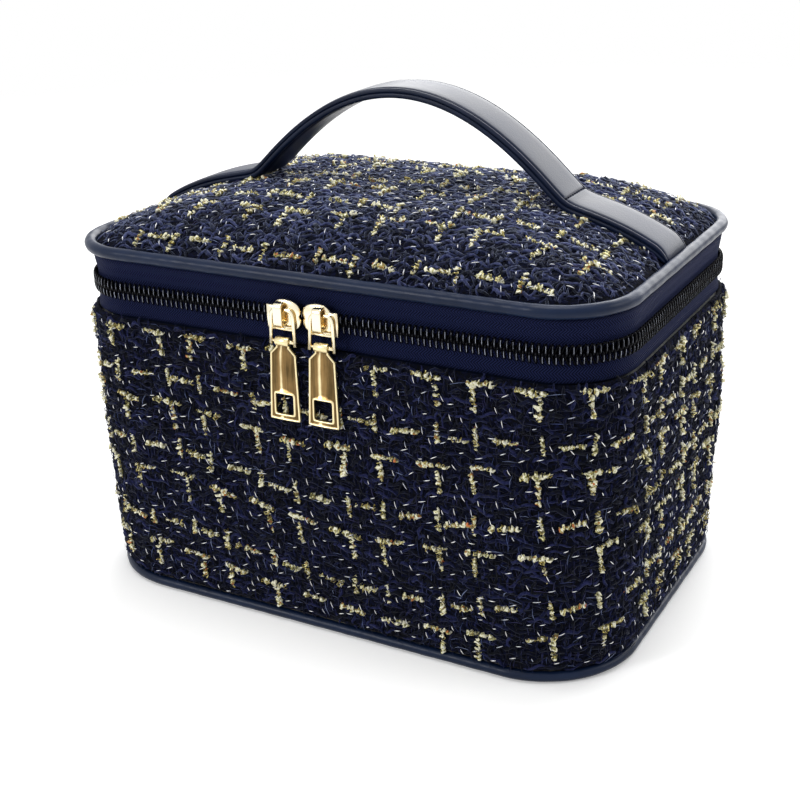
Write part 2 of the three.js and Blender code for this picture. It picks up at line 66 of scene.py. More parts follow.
# Camera
# It stands in front of the case's right-hand corner, a little above the lid.
# Its place, lean and lens were fitted to the outline of the case in the photograph.
camera_azimuth = math.radians(29.394)
camera_elevation = math.radians(22.287)
camera_roll = math.radians(-2.056)
camera_distance = 0.535717
camera_target = Vector((-0.008605, 0.007077, 0.057242))
focal_length_pixels = 1380.768
image_width_pixels = 800
sensor_width_mm = 36

camera_back = Vector((
    math.sin(camera_azimuth) * math.cos(camera_elevation),
    -math.cos(camera_azimuth) * math.cos(camera_elevation),
    math.sin(camera_elevation)))
level_right = Vector((math.cos(camera_azimuth), math.sin(camera_azimuth), 0))
level_up = camera_back.cross(level_right)
camera_data = bpy.data.cameras.new("camera")
camera_data.sensor_width = sensor_width_mm
camera_data.lens = focal_length_pixels * sensor_width_mm / image_width_pixels
camera = bpy.data.objects.new("camera", camera_data)
scene.collection.objects.link(camera)
camera_right = level_right * math.cos(camera_roll) + level_up * math.sin(camera_roll)
camera_up = level_up * math.cos(camera_roll) - level_right * math.sin(camera_roll)
camera.matrix_world = Matrix([
    [camera_right[i], camera_up[i], camera_back[i], (camera_target + camera_back * camera_distance)[i]]
    for i in range(3)] + [[0, 0, 0, 1]])
scene.camera = camera


# Studio
# A white floor and backdrop, a broad window behind the case, a lamp overhead and one in front.
# The floor takes the case's shadow and otherwise shows as white, also in the metal and the glossy edges.
def linear(hex_colour):
    """An sRGB hex colour as linear red, green and blue with a full alpha."""
    channels = [int(hex_colour[i:i + 2], 16) / 255 for i in (1, 3, 5)]
    return [*(c / 12.92 if c <= 0.04045 else ((c + 0.055) / 1.055) ** 2.4 for c in channels), 1]


def add_node(tree, kind, settings=None, inputs=None, stops=()):
    """Adds a node. An input that is a socket, or a node with its result in its first socket, is linked,
    and any other input is its value. stops are a colour ramp's places with their hex colours."""
    node = tree.nodes.new(kind)
    for name, value in (settings or {}).items():
        setattr(node, name, value)
    for name, value in (inputs or {}).items():
        if isinstance(value, bpy.types.Node):
            value = value.outputs[0]
        if isinstance(value, bpy.types.NodeSocket):
            tree.links.new(value, node.inputs[name])
        else:
            node.inputs[name].default_value = value
    if stops:
        elements = node.color_ramp.elements
        for place, colour in stops[2:]:
            elements.new(place)
        for element, (place, colour) in zip(elements, sorted(stops)):
            element.position, element.color = place, linear(colour)
    return node


def new_material(name, kind="ShaderNodeTexCoord", socket="Object", **settings):
    """A new material, its tree, and the socket that its patterns read: a place in the case's own frame,
    unless another kind of node is asked for."""
    material = bpy.data.materials.new(name)
    material.use_nodes = True
    tree = material.node_tree
    tree.nodes.clear()
    return material, tree, add_node(tree, kind, settings).outputs[socket]


def finish_material(tree, shader):
    """Ends a tree in its surface: a shader's node, or the values of one for a common solid surface."""
    if isinstance(shader, dict):
        shader = add_node(tree, "ShaderNodeBsdfPrincipled", inputs=shader)
    add_node(tree, "ShaderNodeOutputMaterial", inputs={"Surface": shader})


floor_white = linear("#f4f4f4")
floor_glow = 0.2
floor_half_size = 4
floor_fade_start, floor_fade_end = 0.4, 1.2
room_light = 0.42


def seen_by_camera(tree):
    """1 for what the camera sees straight, in a mirror or through glass, and 0 for what lights the case."""
    path = add_node(tree, "ShaderNodeLightPath").outputs
    straight_or_mirrored = add_node(tree, "ShaderNodeMath", {"operation": "MAXIMUM"}, {
        0: path["Is Camera Ray"], 1: path["Is Glossy Ray"]})
    return add_node(tree, "ShaderNodeMath", {"operation": "MAXIMUM"}, {
        0: straight_or_mirrored, 1: path["Is Transmission Ray"]})


# White paper: it gives the eye an even white that keeps the case's shadow, and far from the case it
# turns into the white of the room.
floor_material, tree, place = new_material("white_paper_sweep")
seen = seen_by_camera(tree)
glow_strength = add_node(tree, "ShaderNodeMath", {"operation": "MULTIPLY"}, {0: seen, 1: floor_glow})
paper = add_node(tree, "ShaderNodeBsdfDiffuse", inputs={"Color": floor_white})
glow = add_node(tree, "ShaderNodeEmission", inputs={
    "Color": linear("#ffffff"), "Strength": glow_strength})
near_floor = add_node(tree, "ShaderNodeAddShader", inputs={0: paper, 1: glow})
distance = add_node(tree, "ShaderNodeVectorMath", {"operation": "LENGTH"}, {0: place})
farness = add_node(tree, "ShaderNodeMapRange", {"interpolation_type": "SMOOTHSTEP"}, {
    "Value": distance.outputs["Value"], "From Min": floor_fade_start, "From Max": floor_fade_end})
far_floor = add_node(tree, "ShaderNodeEmission", inputs={"Color": linear("#ffffff"), "Strength": seen})
finish_material(tree, add_node(tree, "ShaderNodeMixShader", inputs={
    0: farness, 1: near_floor, 2: far_floor}))

floor_mesh = bpy.data.meshes.new("floor")
floor_mesh.from_pydata([
    (-floor_half_size, -floor_half_size, 0), (floor_half_size, -floor_half_size, 0),
    (floor_half_size, floor_half_size, 0), (-floor_half_size, floor_half_size, 0)], [], [(0, 1, 2, 3)])
floor_mesh.materials.append(floor_material)
floor = bpy.data.objects.new("floor", floor_mesh)
scene.collection.objects.link(floor)

world = bpy.data.worlds.new("studio")
scene.world = world
world.use_nodes = True
tree = world.node_tree
tree.nodes.clear()
strength = add_node(tree, "ShaderNodeMapRange", inputs={
    "Value": seen_by_camera(tree), "To Min": room_light, "To Max": 1.0})
air = add_node(tree, "ShaderNodeBackground", inputs={"Color": linear("#ffffff"), "Strength": strength})
add_node(tree, "ShaderNodeOutputWorld", inputs={"Surface": air})


def add_lamp(name, place, width, height, power):
    """An area lamp that faces the case. Its sizes are in metres and its power is in watts."""
    data = bpy.data.lights.new(name, "AREA")
    data.shape = "ELLIPSE"
    data.size, data.size_y = width, height
    data.energy = power
    lamp = bpy.data.objects.new(name, data)
    lamp.location = place
    lamp.rotation_euler = (camera_target - Vector(place)).to_track_quat("-Z", "Y").to_euler()
    scene.collection.objects.link(lamp)


add_lamp("window_lamp", (0.0, 1.6, 0.85), 2.8, 1.4, 42)
add_lamp("overhead_lamp", (-0.1, 0.0, 1.5), 0.8, 0.8, 12)
add_lamp("side_lamp", (1.5, 0.5, 0.9), 0.9, 0.9, 6)
add_lamp("front_lamp", (-0.75, -1.25, 0.75), 0.35, 0.6, 9)

scene.view_settings.view_transform = "Standard"


# Base cover and stiffening board
# A skin of coated leather under a pressed board, which keeps the floor of the case flat.
# The cover's edge is rounded over and caught in the seam of the base piping.
mouth_width, mouth_depth, mouth_radius = 0.209, 0.1326, 0.026
base_width, base_depth, base_radius = 0.208, 0.141, 0.034
# The outline has nine runs: half the back, a corner, a side, and so on round to the middle of the back.
# Along each run the middle of the rounding goes from one of these places to the next, as shares of the
# way out from the middle of the case.
corner_starts_x = np.array([0, -1, -1, -1, -1, 1, 1, 1, 1])
corner_ends_x = np.array([-1, -1, -1, -1, 1, 1, 1, 1, 0])
corner_starts_y = np.array([1, 1, 1, -1, -1, -1, -1, 1, 1])
corner_ends_y = np.array([1, 1, -1, -1, -1, -1, 1, 1, 1])
mouth_corner = math.pi / 2 * mouth_radius
mouth_half_front = mouth_width / 2 - mouth_radius
mouth_side = mouth_depth - 2 * mouth_radius
mouth_runs = np.array([
    mouth_half_front, mouth_corner, mouth_side, mouth_corner, 2 * mouth_half_front,
    mouth_corner, mouth_side, mouth_corner, mouth_half_front])
mouth_run_ends = np.cumsum(mouth_runs)
mouth_length = mouth_run_ends[-1]


def outline_at(along, width, depth, radius):
    """Points and outward directions round a rounded rectangle. along is measured on the mouth's outline,
    from the middle of the back past the left side, the front and the right side."""
    along = np.clip(along, 0, mouth_length * (1 - 1e-9))
    run = np.searchsorted(mouth_run_ends, along, side="right")
    share = (along - (mouth_run_ends - mouth_runs)[run]) / mouth_runs[run]
    angle = math.pi / 2 * (1 + run // 2 + np.where(run % 2 == 1, share, 0))
    centre_x = corner_starts_x[run] + (corner_ends_x - corner_starts_x)[run] * share
    centre_y = corner_starts_y[run] + (corner_ends_y - corner_starts_y)[run] * share
    out_x, out_y = np.cos(angle), np.sin(angle)
    x = centre_x * (width / 2 - radius) + radius * out_x
    y = centre_y * (depth / 2 - radius) + radius * out_y
    return x, y, out_x, out_y


def ring_at(along, outline, offset, height):
    """A ring of points at a distance outside an outline, at one height."""
    x, y, out_x, out_y = outline_at(along, *outline)
    return np.stack([x + offset * out_x, y + offset * out_y, np.broadcast_to(height, x.shape)], -1)


def around(spacing):
    """Evenly spaced distances all the way round the mouth's outline."""
    return np.arange(0, mouth_length, mouth_length / round(mouth_length / spacing))


def signed_volume(points, faces):
    """Six times the volume in a closed skin, negative where its faces point inwards."""
    return sum(np.dot(points[face[0]], np.cross(points[face[i]], points[face[i + 1]]))
               for face in faces for i in range(1, len(face) - 1))


def add_mesh(name, points, faces, material):
    """A smooth-shaded mesh object at the origin."""
    mesh = bpy.data.meshes.new(name)
    mesh.from_pydata(points.tolist(), [], faces)
    mesh.shade_smooth()
    mesh.materials.append(material)
    made = bpy.data.objects.new(name, mesh)
    scene.collection.objects.link(made)
    return made


def skin_faces(rings, columns, closed_skin):
    """The faces of a skin through closed rings of points, and the (ring, column) of each corner. The
    last ring joins the first if the skin is closed. Otherwise the last two faces are caps on its ends."""
    corners = [[(r, c), (r, c + 1), (r + 1, c + 1), (r + 1, c)]
               for r in range(rings if closed_skin else rings - 1) for c in range(columns)]
    if not closed_skin:
        corners += [[(0, c) for c in reversed(range(columns))], [(rings - 1, c) for c in range(columns)]]
    faces = [[(r % rings) * columns + c % columns for r, c in corner] for corner in corners]
    return faces, corners


def lofted(name, rings, material, closed_skin=False, uv_at=None):
    """A skin through closed rings of points, its faces turned outwards. uv_at gives a corner's place on
    the cloth from its ring, its column and its point. Over a seam, the counts of both run on."""
    rings = np.asarray(rings)
    points = rings.reshape(-1, 3)
    faces, corners = skin_faces(*rings.shape[:2], closed_skin)
    if signed_volume(points, faces) < 0:
        faces, corners = [face[::-1] for face in faces], [corner[::-1] for corner in corners]
    made = add_mesh(name, points, faces, material)
    if uv_at:
        uv = [uv_at(r, c, points[i])
              for face, corner in zip(faces, corners) for i, (r, c) in zip(face, corner)]
        made.data.uv_layers.new(name="cloth").data.foreach_set("uv", np.array(uv, np.float32).ravel())
    return made


def leather(name, colour, worn, grain_mm=0.5, crease_mm=None):
    """Coated leather: an embossed film over a cloth back. It gives the eye a fine even grain
    and a soft pale reflection, a little lighter and duller where it is handled. Round a cord
    it also creases crosswise, about a millimetre apart."""
    material, tree, place = new_material(name)
    grain = add_node(tree, "ShaderNodeTexVoronoi", {"feature": "SMOOTH_F1"}, {
        "Vector": place, "Scale": 1000 / grain_mm, "Smoothness": 0.6})
    pores = add_node(tree, "ShaderNodeTexNoise", inputs={
        "Vector": place, "Scale": 1000 / (2 * grain_mm), "Detail": 3.0})
    height = add_node(tree, "ShaderNodeMath", {"operation": "ADD"}, {
        0: grain.outputs["Distance"], 1: pores.outputs["Fac"]})
    bump = add_node(tree, "ShaderNodeBump", inputs={
        "Strength": 0.2, "Distance": grain_mm / 1000 / 4, "Height": height})
    if crease_mm:
        cord_place = add_node(tree, "ShaderNodeUVMap", {"uv_map": "cloth"})
        creases = add_node(tree, "ShaderNodeTexWave", {"bands_direction": "X"}, {
            "Vector": cord_place, "Scale": 1000 / crease_mm / 20, "Distortion": 2.5, "Detail": 2.0,
            "Detail Scale": 1.0})
        bump = add_node(tree, "ShaderNodeBump", inputs={
            "Strength": 0.5, "Distance": 0.00012, "Height": creases.outputs["Fac"],
            "Normal": bump})
    cloud = add_node(tree, "ShaderNodeTexNoise", inputs={"Vector": place, "Scale": 60.0, "Detail": 4.0})
    shade = add_node(tree, "ShaderNodeValToRGB", inputs={"Fac": cloud.outputs["Fac"]}, stops=[
        (0.35, colour), (0.75, worn)])
    dullness = add_node(tree, "ShaderNodeMapRange", inputs={
        "Value": cloud.outputs["Fac"], "To Min": 0.3, "To Max": 0.42})
    finish_material(tree, {
        "Base Color": shade, "Roughness": dullness, "IOR": 1.36,
        "Specular IOR Level": 0.32, "Normal": bump})
    return material


navy_leather = leather("navy_coated_leather", "#09142a", "#101c36")
piping_leather = leather("navy_piping_leather", "#0a1830", "#12213c", crease_mm=1.0)


def mottled(name, patches_per_metre, detail, stops, finish):
    """A plain material whose colour varies in soft patches. finish holds the shader's other values."""
    material, tree, place = new_material(name)
    patches = add_node(tree, "ShaderNodeTexNoise", inputs={
        "Vector": place, "Scale": patches_per_metre, "Detail": detail})
    shade = add_node(tree, "ShaderNodeValToRGB", inputs={"Fac": patches.outputs["Fac"]}, stops=stops)
    finish_material(tree, {"Base Color": shade, **finish})
    return material


# Pressed grey board: it gives the eye a dull warm grey with short paler fibres.
board_material = mottled("pressed_grey_board", 700.0, detail=6.0, finish={"Roughness": 0.9},
                         stops=[(0.3, "#6f6960"), (0.7, "#a39c8f")])
board = nodes["base_board"]
board.data.materials.clear()
board.data.materials.append(board_material)


def mount(piece, body, slot, *stood_for):
    """Puts a piece on the body that carries it and takes out the plain solids that it stands for.
    Its slot is not used."""
    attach(piece, body)
    if stood_for:
        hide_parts(*stood_for)


base_outline = (base_width, base_depth, base_radius)
cover_offset = -0.0027
cover_height = 0.0016
cover_rounding = 0.0006
cover_flat = 0.004
cover_profile = [
    (cover_offset - cover_flat, 0), (cover_offset - cover_rounding, 0),
    (cover_offset - cover_rounding * 0.3, cover_rounding / 3), (cover_offset, cover_rounding),
    (cover_offset, cover_height - cover_rounding / 2),
    (cover_offset - cover_rounding / 2, cover_height), (cover_offset - cover_flat, cover_height)]
cover_along = around(0.003)
base_cover = lofted("base_cover_leather", [
    ring_at(cover_along, base_outline, *station) for station in cover_profile], navy_leather)
mount(base_cover, "case", "leather", "base_cover")


# Base piping
# A cord wrapped in a strip of the same leather and sewn in between the base and the wall.
# The skin puckers a little over the cord.
turn = 2 * math.pi / mouth_length


def piping(name, outline, offset, height, radius, spacing=0.0016, sides=20):
    """A leather-covered cord round an outline, slightly uneven as sewn piping is."""
    along = around(spacing)
    swell = 1 + 0.02 * np.sin(37 * turn * along) + 0.012 * np.sin(91 * turn * along + 1)
    rings = []
    for side in range(sides):
        angle = 2 * math.pi * side / sides
        x, y, out_x, out_y = outline_at(along, *outline)
        reach = offset + radius * swell * math.cos(angle)
        rings.append(np.stack([
            x + reach * out_x, y + reach * out_y, height + radius * swell * math.sin(angle)], -1))
    way_round = np.linspace(0, 2 * math.pi * radius, sides + 1)
    along = np.append(along, mouth_length)
    return lofted(name, rings, piping_leather, True, lambda r, c, point: (along[c], way_round[r]))


base_piping = piping("base_piping_leather", base_outline, offset=-0.0006, height=0.00205, radius=0.0018)
mount(base_piping, "case", "leather", "base_piping")


# Tweed wall
# The boucle tweed that goes round the four sides, sewn to the piping below and to the zip tape above.
# A dark ground cloth carries looped navy yarns both ways, pale slubs in a broken check and silver flecks.
wall_top = 0.105
wall_bottom = 0.0041
wall_bulge = 0.0015
wall_sag = 0.0006
broad_waves, small_waves = 0.0005, 0.0004
flat_from, flat_above = 0.066, 0.080
tweed_stand_out = 0.0009
tweed_thickness = 0.0022


def wall_point(along, height, out=0.0):
    """A point on the tweed wall's face, or at a distance outside it. The cloth waves a little, except
    near the mouth's seam, where it is held flat and the tabs rub over it."""
    rise = height / wall_top
    bulge = wall_bulge * np.sin(math.pi * rise)
    held_flat = np.clip((height - flat_from) / (flat_above - flat_from), 0, 1)
    waves = (broad_waves * np.sin(9 * turn * along + 1.3 + 5 * rise)
             + small_waves * np.sin(23 * turn * along - 7 * rise))
    slack = np.sin(math.pi * np.clip(rise, 0, 1)) * (waves * (1 - held_flat) - wall_sag * (1 + held_flat))
    width = base_width + (mouth_width + 2 * tweed_stand_out - base_width) * rise + 2 * bulge
    depth = base_depth + (mouth_depth + 2 * tweed_stand_out - base_depth) * rise + 2 * bulge
    radius = base_radius + (mouth_radius + tweed_stand_out - base_radius) * rise + bulge
    x, y, out_x, out_y = outline_at(along % mouth_length, width, depth, radius)
    reach = out + slack
    return np.stack([x + reach * out_x, y + reach * out_y, height + 0 * x], -1)


def surface_frame(surface, u, v, probe=0.0004):
    """Where a place on a surface lies, its outward direction and the direction in which u runs."""
    along_u = surface(u + probe, v) - surface(u - probe, v)
    along_v = surface(u, v + probe) - surface(u, v - probe)
    facing = np.cross(along_u, along_v)
    facing /= np.linalg.norm(facing, axis=-1, keepdims=True)
    along_u /= np.linalg.norm(along_u, axis=-1, keepdims=True)
    return surface(u, v), facing, along_u


def thread_shape(name, path, radii, sides):
    """A short closed tube along a path, the shape that a tree of nodes repeats. Its UV holds the
    millimetres along the thread and the share of the way round it, and is 0 on its caps."""
    path, radii = np.asarray(path, float), np.broadcast_to(radii, len(path))
    heading = np.gradient(path, axis=0)
    heading /= np.linalg.norm(heading, axis=1, keepdims=True)
    side = np.cross(heading, [0.13, 0.21, 1.0])
    side /= np.linalg.norm(side, axis=1, keepdims=True)
    other = np.cross(heading, side)
    angles = 2 * math.pi * np.arange(sides) / sides
    rings = (path[:, None] + radii[:, None, None] * (
        np.cos(angles)[None, :, None] * side[:, None] + np.sin(angles)[None, :, None] * other[:, None]))
    faces, corners = skin_faces(len(path), sides, False)
    run_mm = np.concatenate([[0], np.cumsum(np.linalg.norm(np.diff(path, axis=0), axis=1))]) * 1000
    uv = [(run_mm[r], c / sides) for corner in corners[:-2] for r, c in corner] + [(0, 0)] * 2 * sides
    mesh = bpy.data.meshes.new(name)
    mesh.from_pydata(rings.reshape(-1, 3).tolist(), [], faces)
    mesh.uv_layers.new(name="thread").data.foreach_set("uv", np.array(uv, np.float32).ravel())
    return mesh


# The tree of nodes that lays a repeated shape on every point of a set: it stands each copy on its
# surface, picks among the variants, ruffles the result and gives it its finish.
laying = bpy.data.node_groups.new("lay_repeated_shapes", "GeometryNodeTree")
for socket_name, kind in (
        ("Places", "NodeSocketGeometry"), ("Shapes", "NodeSocketCollection"), ("Seed", "NodeSocketInt"),
        ("Ruffle", "NodeSocketFloat"), ("Ruffle Size", "NodeSocketFloat"), ("Finish", "NodeSocketMaterial")):
    laying.interface.new_socket(name=socket_name, in_out="INPUT", socket_type=kind)
laying.interface.new_socket(name="Pieces", in_out="OUTPUT", socket_type="NodeSocketGeometry")
given = add_node(laying, "NodeGroupInput").outputs
facing, running, growth = (
    add_node(laying, "GeometryNodeInputNamedAttribute", {"data_type": "FLOAT_VECTOR"}, {"Name": label})
    for label in ("facing", "running", "growth"))
stance = add_node(laying, "FunctionNodeAxesToRotation", {"primary_axis": "Z", "secondary_axis": "X"}, {
    "Primary Axis": facing, "Secondary Axis": running})
variants = add_node(laying, "GeometryNodeCollectionInfo", inputs={
    "Collection": given["Shapes"], "Separate Children": True, "Reset Children": True})
# The random node's inputs have the same names for every kind of number, so those for whole numbers
# are picked by their places.
whole_min, whole_max = 4, 5
choice = add_node(laying, "FunctionNodeRandomValue", {"data_type": "INT"}, {
    whole_min: 0, whole_max: 1000, "Seed": given["Seed"]})
copies = add_node(laying, "GeometryNodeInstanceOnPoints", inputs={
    "Points": given["Places"], "Instance": variants, "Pick Instance": True,
    "Instance Index": choice.outputs[2], "Rotation": stance, "Scale": growth})
solid = add_node(laying, "GeometryNodeRealizeInstances", inputs={"Geometry": copies})
fineness = add_node(laying, "ShaderNodeMath", {"operation": "DIVIDE"}, {0: 1.0, 1: given["Ruffle Size"]})
wander = add_node(laying, "ShaderNodeTexNoise", inputs={"Scale": fineness, "Detail": 1.0})
centred = add_node(laying, "ShaderNodeVectorMath", {"operation": "SUBTRACT"}, {
    0: wander.outputs["Color"], 1: (0.5, 0.5, 0.5)})
shift = add_node(laying, "ShaderNodeVectorMath", {"operation": "SCALE"}, {
    0: centred, "Scale": given["Ruffle"]})
ruffled = add_node(laying, "GeometryNodeSetPosition", inputs={"Geometry": solid, "Offset": shift})
smooth = add_node(laying, "GeometryNodeSetShadeSmooth", inputs={"Geometry": ruffled})
dressed = add_node(laying, "GeometryNodeSetMaterial", inputs={
    "Geometry": smooth, "Material": given["Finish"]})
add_node(laying, "NodeGroupOutput", inputs={"Pieces": dressed})


def laid(name, shapes, places, facing, running, finish, growth=None, shade=None, seed=1,
         ruffle=0.0, ruffle_size=0.001):
    """Repeats the shapes on the places with the tree above, and returns one plain mesh object. growth
    is each copy's length, width and height over the shape's own, and shade is its lot in the colour."""
    carrier_mesh = bpy.data.meshes.new(name + "_places")
    carrier_mesh.from_pydata(np.asarray(places).tolist(), [], [])
    growth = np.ones((len(places), 3)) if growth is None else np.broadcast_to(growth, (len(places), 3))
    for label, values in (("facing", facing), ("running", running), ("growth", growth)):
        values = np.broadcast_to(values, (len(places), 3))
        carrier_mesh.attributes.new(label, "FLOAT_VECTOR", "POINT").data.foreach_set(
            "vector", np.ascontiguousarray(values, np.float32).ravel())
    if shade is not None:
        carrier_mesh.attributes.new("shade", "FLOAT", "POINT").data.foreach_set(
            "value", np.asarray(shade, np.float32))
    carrier = bpy.data.objects.new(name + "_carrier", carrier_mesh)
    scene.collection.objects.link(carrier)
    group = bpy.data.collections.new(name + "_shapes")
    for i, shape in enumerate(shapes):
        group.objects.link(bpy.data.objects.new(f"{name}_shape_{i}", shape))
    modifier = carrier.modifiers.new("laying", "NODES")
    modifier.node_group = laying
    identifiers = {item.name: item.identifier for item in laying.interface.items_tree}
    for label, value in (("Shapes", group), ("Seed", seed), ("Ruffle", float(ruffle)),
                         ("Ruffle Size", float(ruffle_size)), ("Finish", finish)):
        modifier[identifiers[label]] = value
    bpy.context.view_layer.update()
    evaluated = carrier.evaluated_get(bpy.context.evaluated_depsgraph_get())
    mesh = bpy.data.meshes.new_from_object(evaluated)
    mesh.name = name
    for label in ("facing", "running", "growth"):
        if label in mesh.attributes:
            mesh.attributes.remove(mesh.attributes[label])
    made = bpy.data.objects.new(name, mesh)
    scene.collection.objects.link(made)
    bpy.data.objects.remove(carrier)
    for shape in list(group.objects):
        bpy.data.objects.remove(shape)
    bpy.data.collections.remove(group)
    return made


# Ground cloth: a plain weave of fine navy wool, drawn nearly black. Its dark colour is partly its own dark
# navy and partly painted shade for the gaps between the yarns that lie on it.
ground_material, tree, place = new_material("navy_wool_ground_cloth")
fluff = add_node(tree, "ShaderNodeTexNoise", inputs={
    "Vector": place, "Scale": 1000 / 1.2, "Detail": 5.0, "Distortion": 0.6})
shade = add_node(tree, "ShaderNodeValToRGB", inputs={"Fac": fluff.outputs["Fac"]}, stops=[
    (0.4, "#020308"), (0.6, "#070b20"), (0.72, "#121738")])
bump = add_node(tree, "ShaderNodeBump", inputs={
    "Strength": 1.0, "Distance": 0.0008, "Height": fluff.outputs["Fac"]})
finish_material(tree, {
    "Base Color": shade, "Roughness": 0.95, "Normal": bump,
    "Specular IOR Level": 0.1})


def boucle_yarn(name, nap, stops):
    """Navy yarn of brushed wool and acrylic: it gives the eye fibres that run along it and a soft pale
    nap against the light. Each length has its own shade, from ink to blue or violet.
    The fibres are drawn a few times as coarse as they are, so that they show."""
    material, tree, place = new_material(name)
    thread_place = add_node(tree, "ShaderNodeUVMap", {"uv_map": "thread"})
    own_shade = add_node(tree, "ShaderNodeAttribute", {"attribute_name": "shade"}).outputs["Fac"]
    stretched = add_node(tree, "ShaderNodeMapping", inputs={"Vector": thread_place, "Scale": (0.5, 5.0, 1.0)})
    offset = add_node(tree, "ShaderNodeVectorMath", {"operation": "MULTIPLY_ADD"}, {
        0: own_shade, 1: (40.0, 40.0, 40.0), 2: stretched})
    fibres = add_node(tree, "ShaderNodeTexNoise", inputs={"Vector": offset, "Scale": 1.6, "Detail": 3.0})
    fluff = add_node(tree, "ShaderNodeTexNoise", inputs={"Vector": place, "Scale": 1000 / 1.1, "Detail": 3.0})
    mixed = add_node(tree, "ShaderNodeMath", {"operation": "MULTIPLY_ADD"}, {
        0: fluff.outputs["Fac"], 1: 0.75, 2: own_shade})
    blend = add_node(tree, "ShaderNodeMath", {"operation": "MULTIPLY_ADD"}, {
        0: fibres.outputs["Fac"], 1: 0.3, 2: mixed})
    shade = add_node(tree, "ShaderNodeValToRGB", inputs={"Fac": blend}, stops=stops)
    bump = add_node(tree, "ShaderNodeBump", inputs={"Strength": 1.0, "Distance": 0.0004, "Height": mixed})
    finish_material(tree, {
        "Base Color": shade, "Roughness": 0.8, "Normal": bump,
        "Specular IOR Level": 0.1, "Sheen Weight": nap, "Sheen Roughness": 0.5,
        "Sheen Tint": linear("#aab4d0")})
    return material


wall_yarn = boucle_yarn("navy_boucle_yarn", 0.12, [
    (0.5, "#010206"), (0.65, "#030512"), (0.77, "#070b22"), (0.88, "#0f1536"), (0.98, "#22264c")])

# Loose fibres: single lengths that stand out of the yarns, each with its own shade at random. A few are
# painted pale, as a painted highlight for fibres that catch the light.
fibre_material, tree, own_shade = new_material(
    "navy_loose_fibre", "ShaderNodeAttribute", "Fac", attribute_name="shade")
shade = add_node(tree, "ShaderNodeValToRGB", inputs={"Fac": own_shade}, stops=[
    (0.0, "#020309"), (0.5, "#090d26"), (0.75, "#141a40"), (0.86, "#2a2650"), (0.94, "#364674"),
    (1.0, "#8490b4")])
finish_material(tree, {"Base Color": shade, "Roughness": 0.6, "Specular IOR Level": 0.25})

# Slub yarn: nubbly ivory cotton, in places pale green, yellow or tan. Its dark olive patches fall at random
# and are painted shade, standing for the hollows of its loops.
slub_material, tree, place = new_material("ivory_slub_yarn")
own_shade = add_node(tree, "ShaderNodeAttribute", {"attribute_name": "shade"}).outputs["Fac"]
mix = add_node(tree, "ShaderNodeTexNoise", inputs={"Vector": place, "Scale": 1000 / 1.5, "Detail": 3.0})
blend = add_node(tree, "ShaderNodeMath", {"operation": "MULTIPLY_ADD"}, {
    0: own_shade, 1: 0.2, 2: mix.outputs["Fac"]})
shade = add_node(tree, "ShaderNodeValToRGB", inputs={"Fac": blend}, stops=[
    (0.3, "#4c481c"), (0.38, "#aba65c"), (0.45, "#efecd0"), (0.54, "#f8f5e2"), (0.59, "#c6c27c"),
    (0.65, "#857230"), (0.73, "#c46a34")])
finish_material(tree, {"Base Color": shade, "Roughness": 0.55, "Sheen Weight": 0.1})

# Gold thread: a thin metallised thread that runs in loops round the slub yarn and glints in places.
gold_thread_material = mottled(
    "gold_metallised_thread", 900.0, detail=3.0, finish={"Metallic": 0.4, "Roughness": 0.4},
    stops=[(0.38, "#4e4518"), (0.5, "#a89640"), (0.6, "#f4ecb0")])

# Silver fleck: a flat metallised thread that comes to the surface for a millimetre or two.
fleck_material = mottled(
    "silver_metallised_thread", 300.0, detail=2.0, finish={"Metallic": 0.2, "Roughness": 0.35},
    stops=[(0.3, "#a9b1c6"), (0.5, "#ffffff")])

weave_depth = 0.00018
weave_pitch_across, weave_pitch_up = 0.0037, 0.0035


def weave_relief(u, v):
    """The ground cloth's own weave, as a height over its smooth face."""
    return (weave_depth * np.sin(2 * math.pi * u / weave_pitch_across)
            * np.sin(2 * math.pi * v / weave_pitch_up))


wall_along = around(0.0018)
turn_in = tweed_thickness / 2
wall_heights = np.linspace(wall_bottom + turn_in, wall_top - turn_in, 56)
wall_rings = [wall_point(wall_along, wall_bottom, -turn_in)]
wall_rings += [wall_point(wall_along, h, weave_relief(wall_along, h)) for h in wall_heights]
wall_rings += [wall_point(wall_along, wall_top, -turn_in)]
wall_rings += [wall_point(wall_along, h, -tweed_thickness) for h in wall_heights[::-4]]
wall_cloth = lofted("tweed_wall_ground", wall_rings, ground_material, closed_skin=True)
mount(wall_cloth, "case", "tweed", "body_tweed_wall")

yarn_length = 0.0082
yarn_radius = 0.00062
yarn_rise = 0.0009
yarn_wander = 0.0007
yarn_spacing = 0.00252
warp_fineness = (0.75, 0.8, 0.9)


def curled_yarns(name, variants=6, steps=7):
    """Lengths of kinked yarn that come up out of the cloth, wander over it and dive in again."""
    chance = np.random.default_rng(8)
    shapes = []
    for i in range(variants):
        share = np.linspace(-0.5, 0.5, steps)
        wander = yarn_wander * np.sin(2 * math.pi * (share * chance.uniform(0.6, 1.6) + chance.uniform()))
        bow = yarn_rise * np.cos(math.pi * share) * chance.uniform(0.6, 1.2, steps) - yarn_radius * 0.75
        path = np.stack([yarn_length * share, wander, bow], -1)
        radii = yarn_radius * np.cos(2.2 * share) * chance.uniform(0.75, 1.3, steps)
        shapes.append(thread_shape(f"{name}_{i}", path, radii, 4))
    return shapes


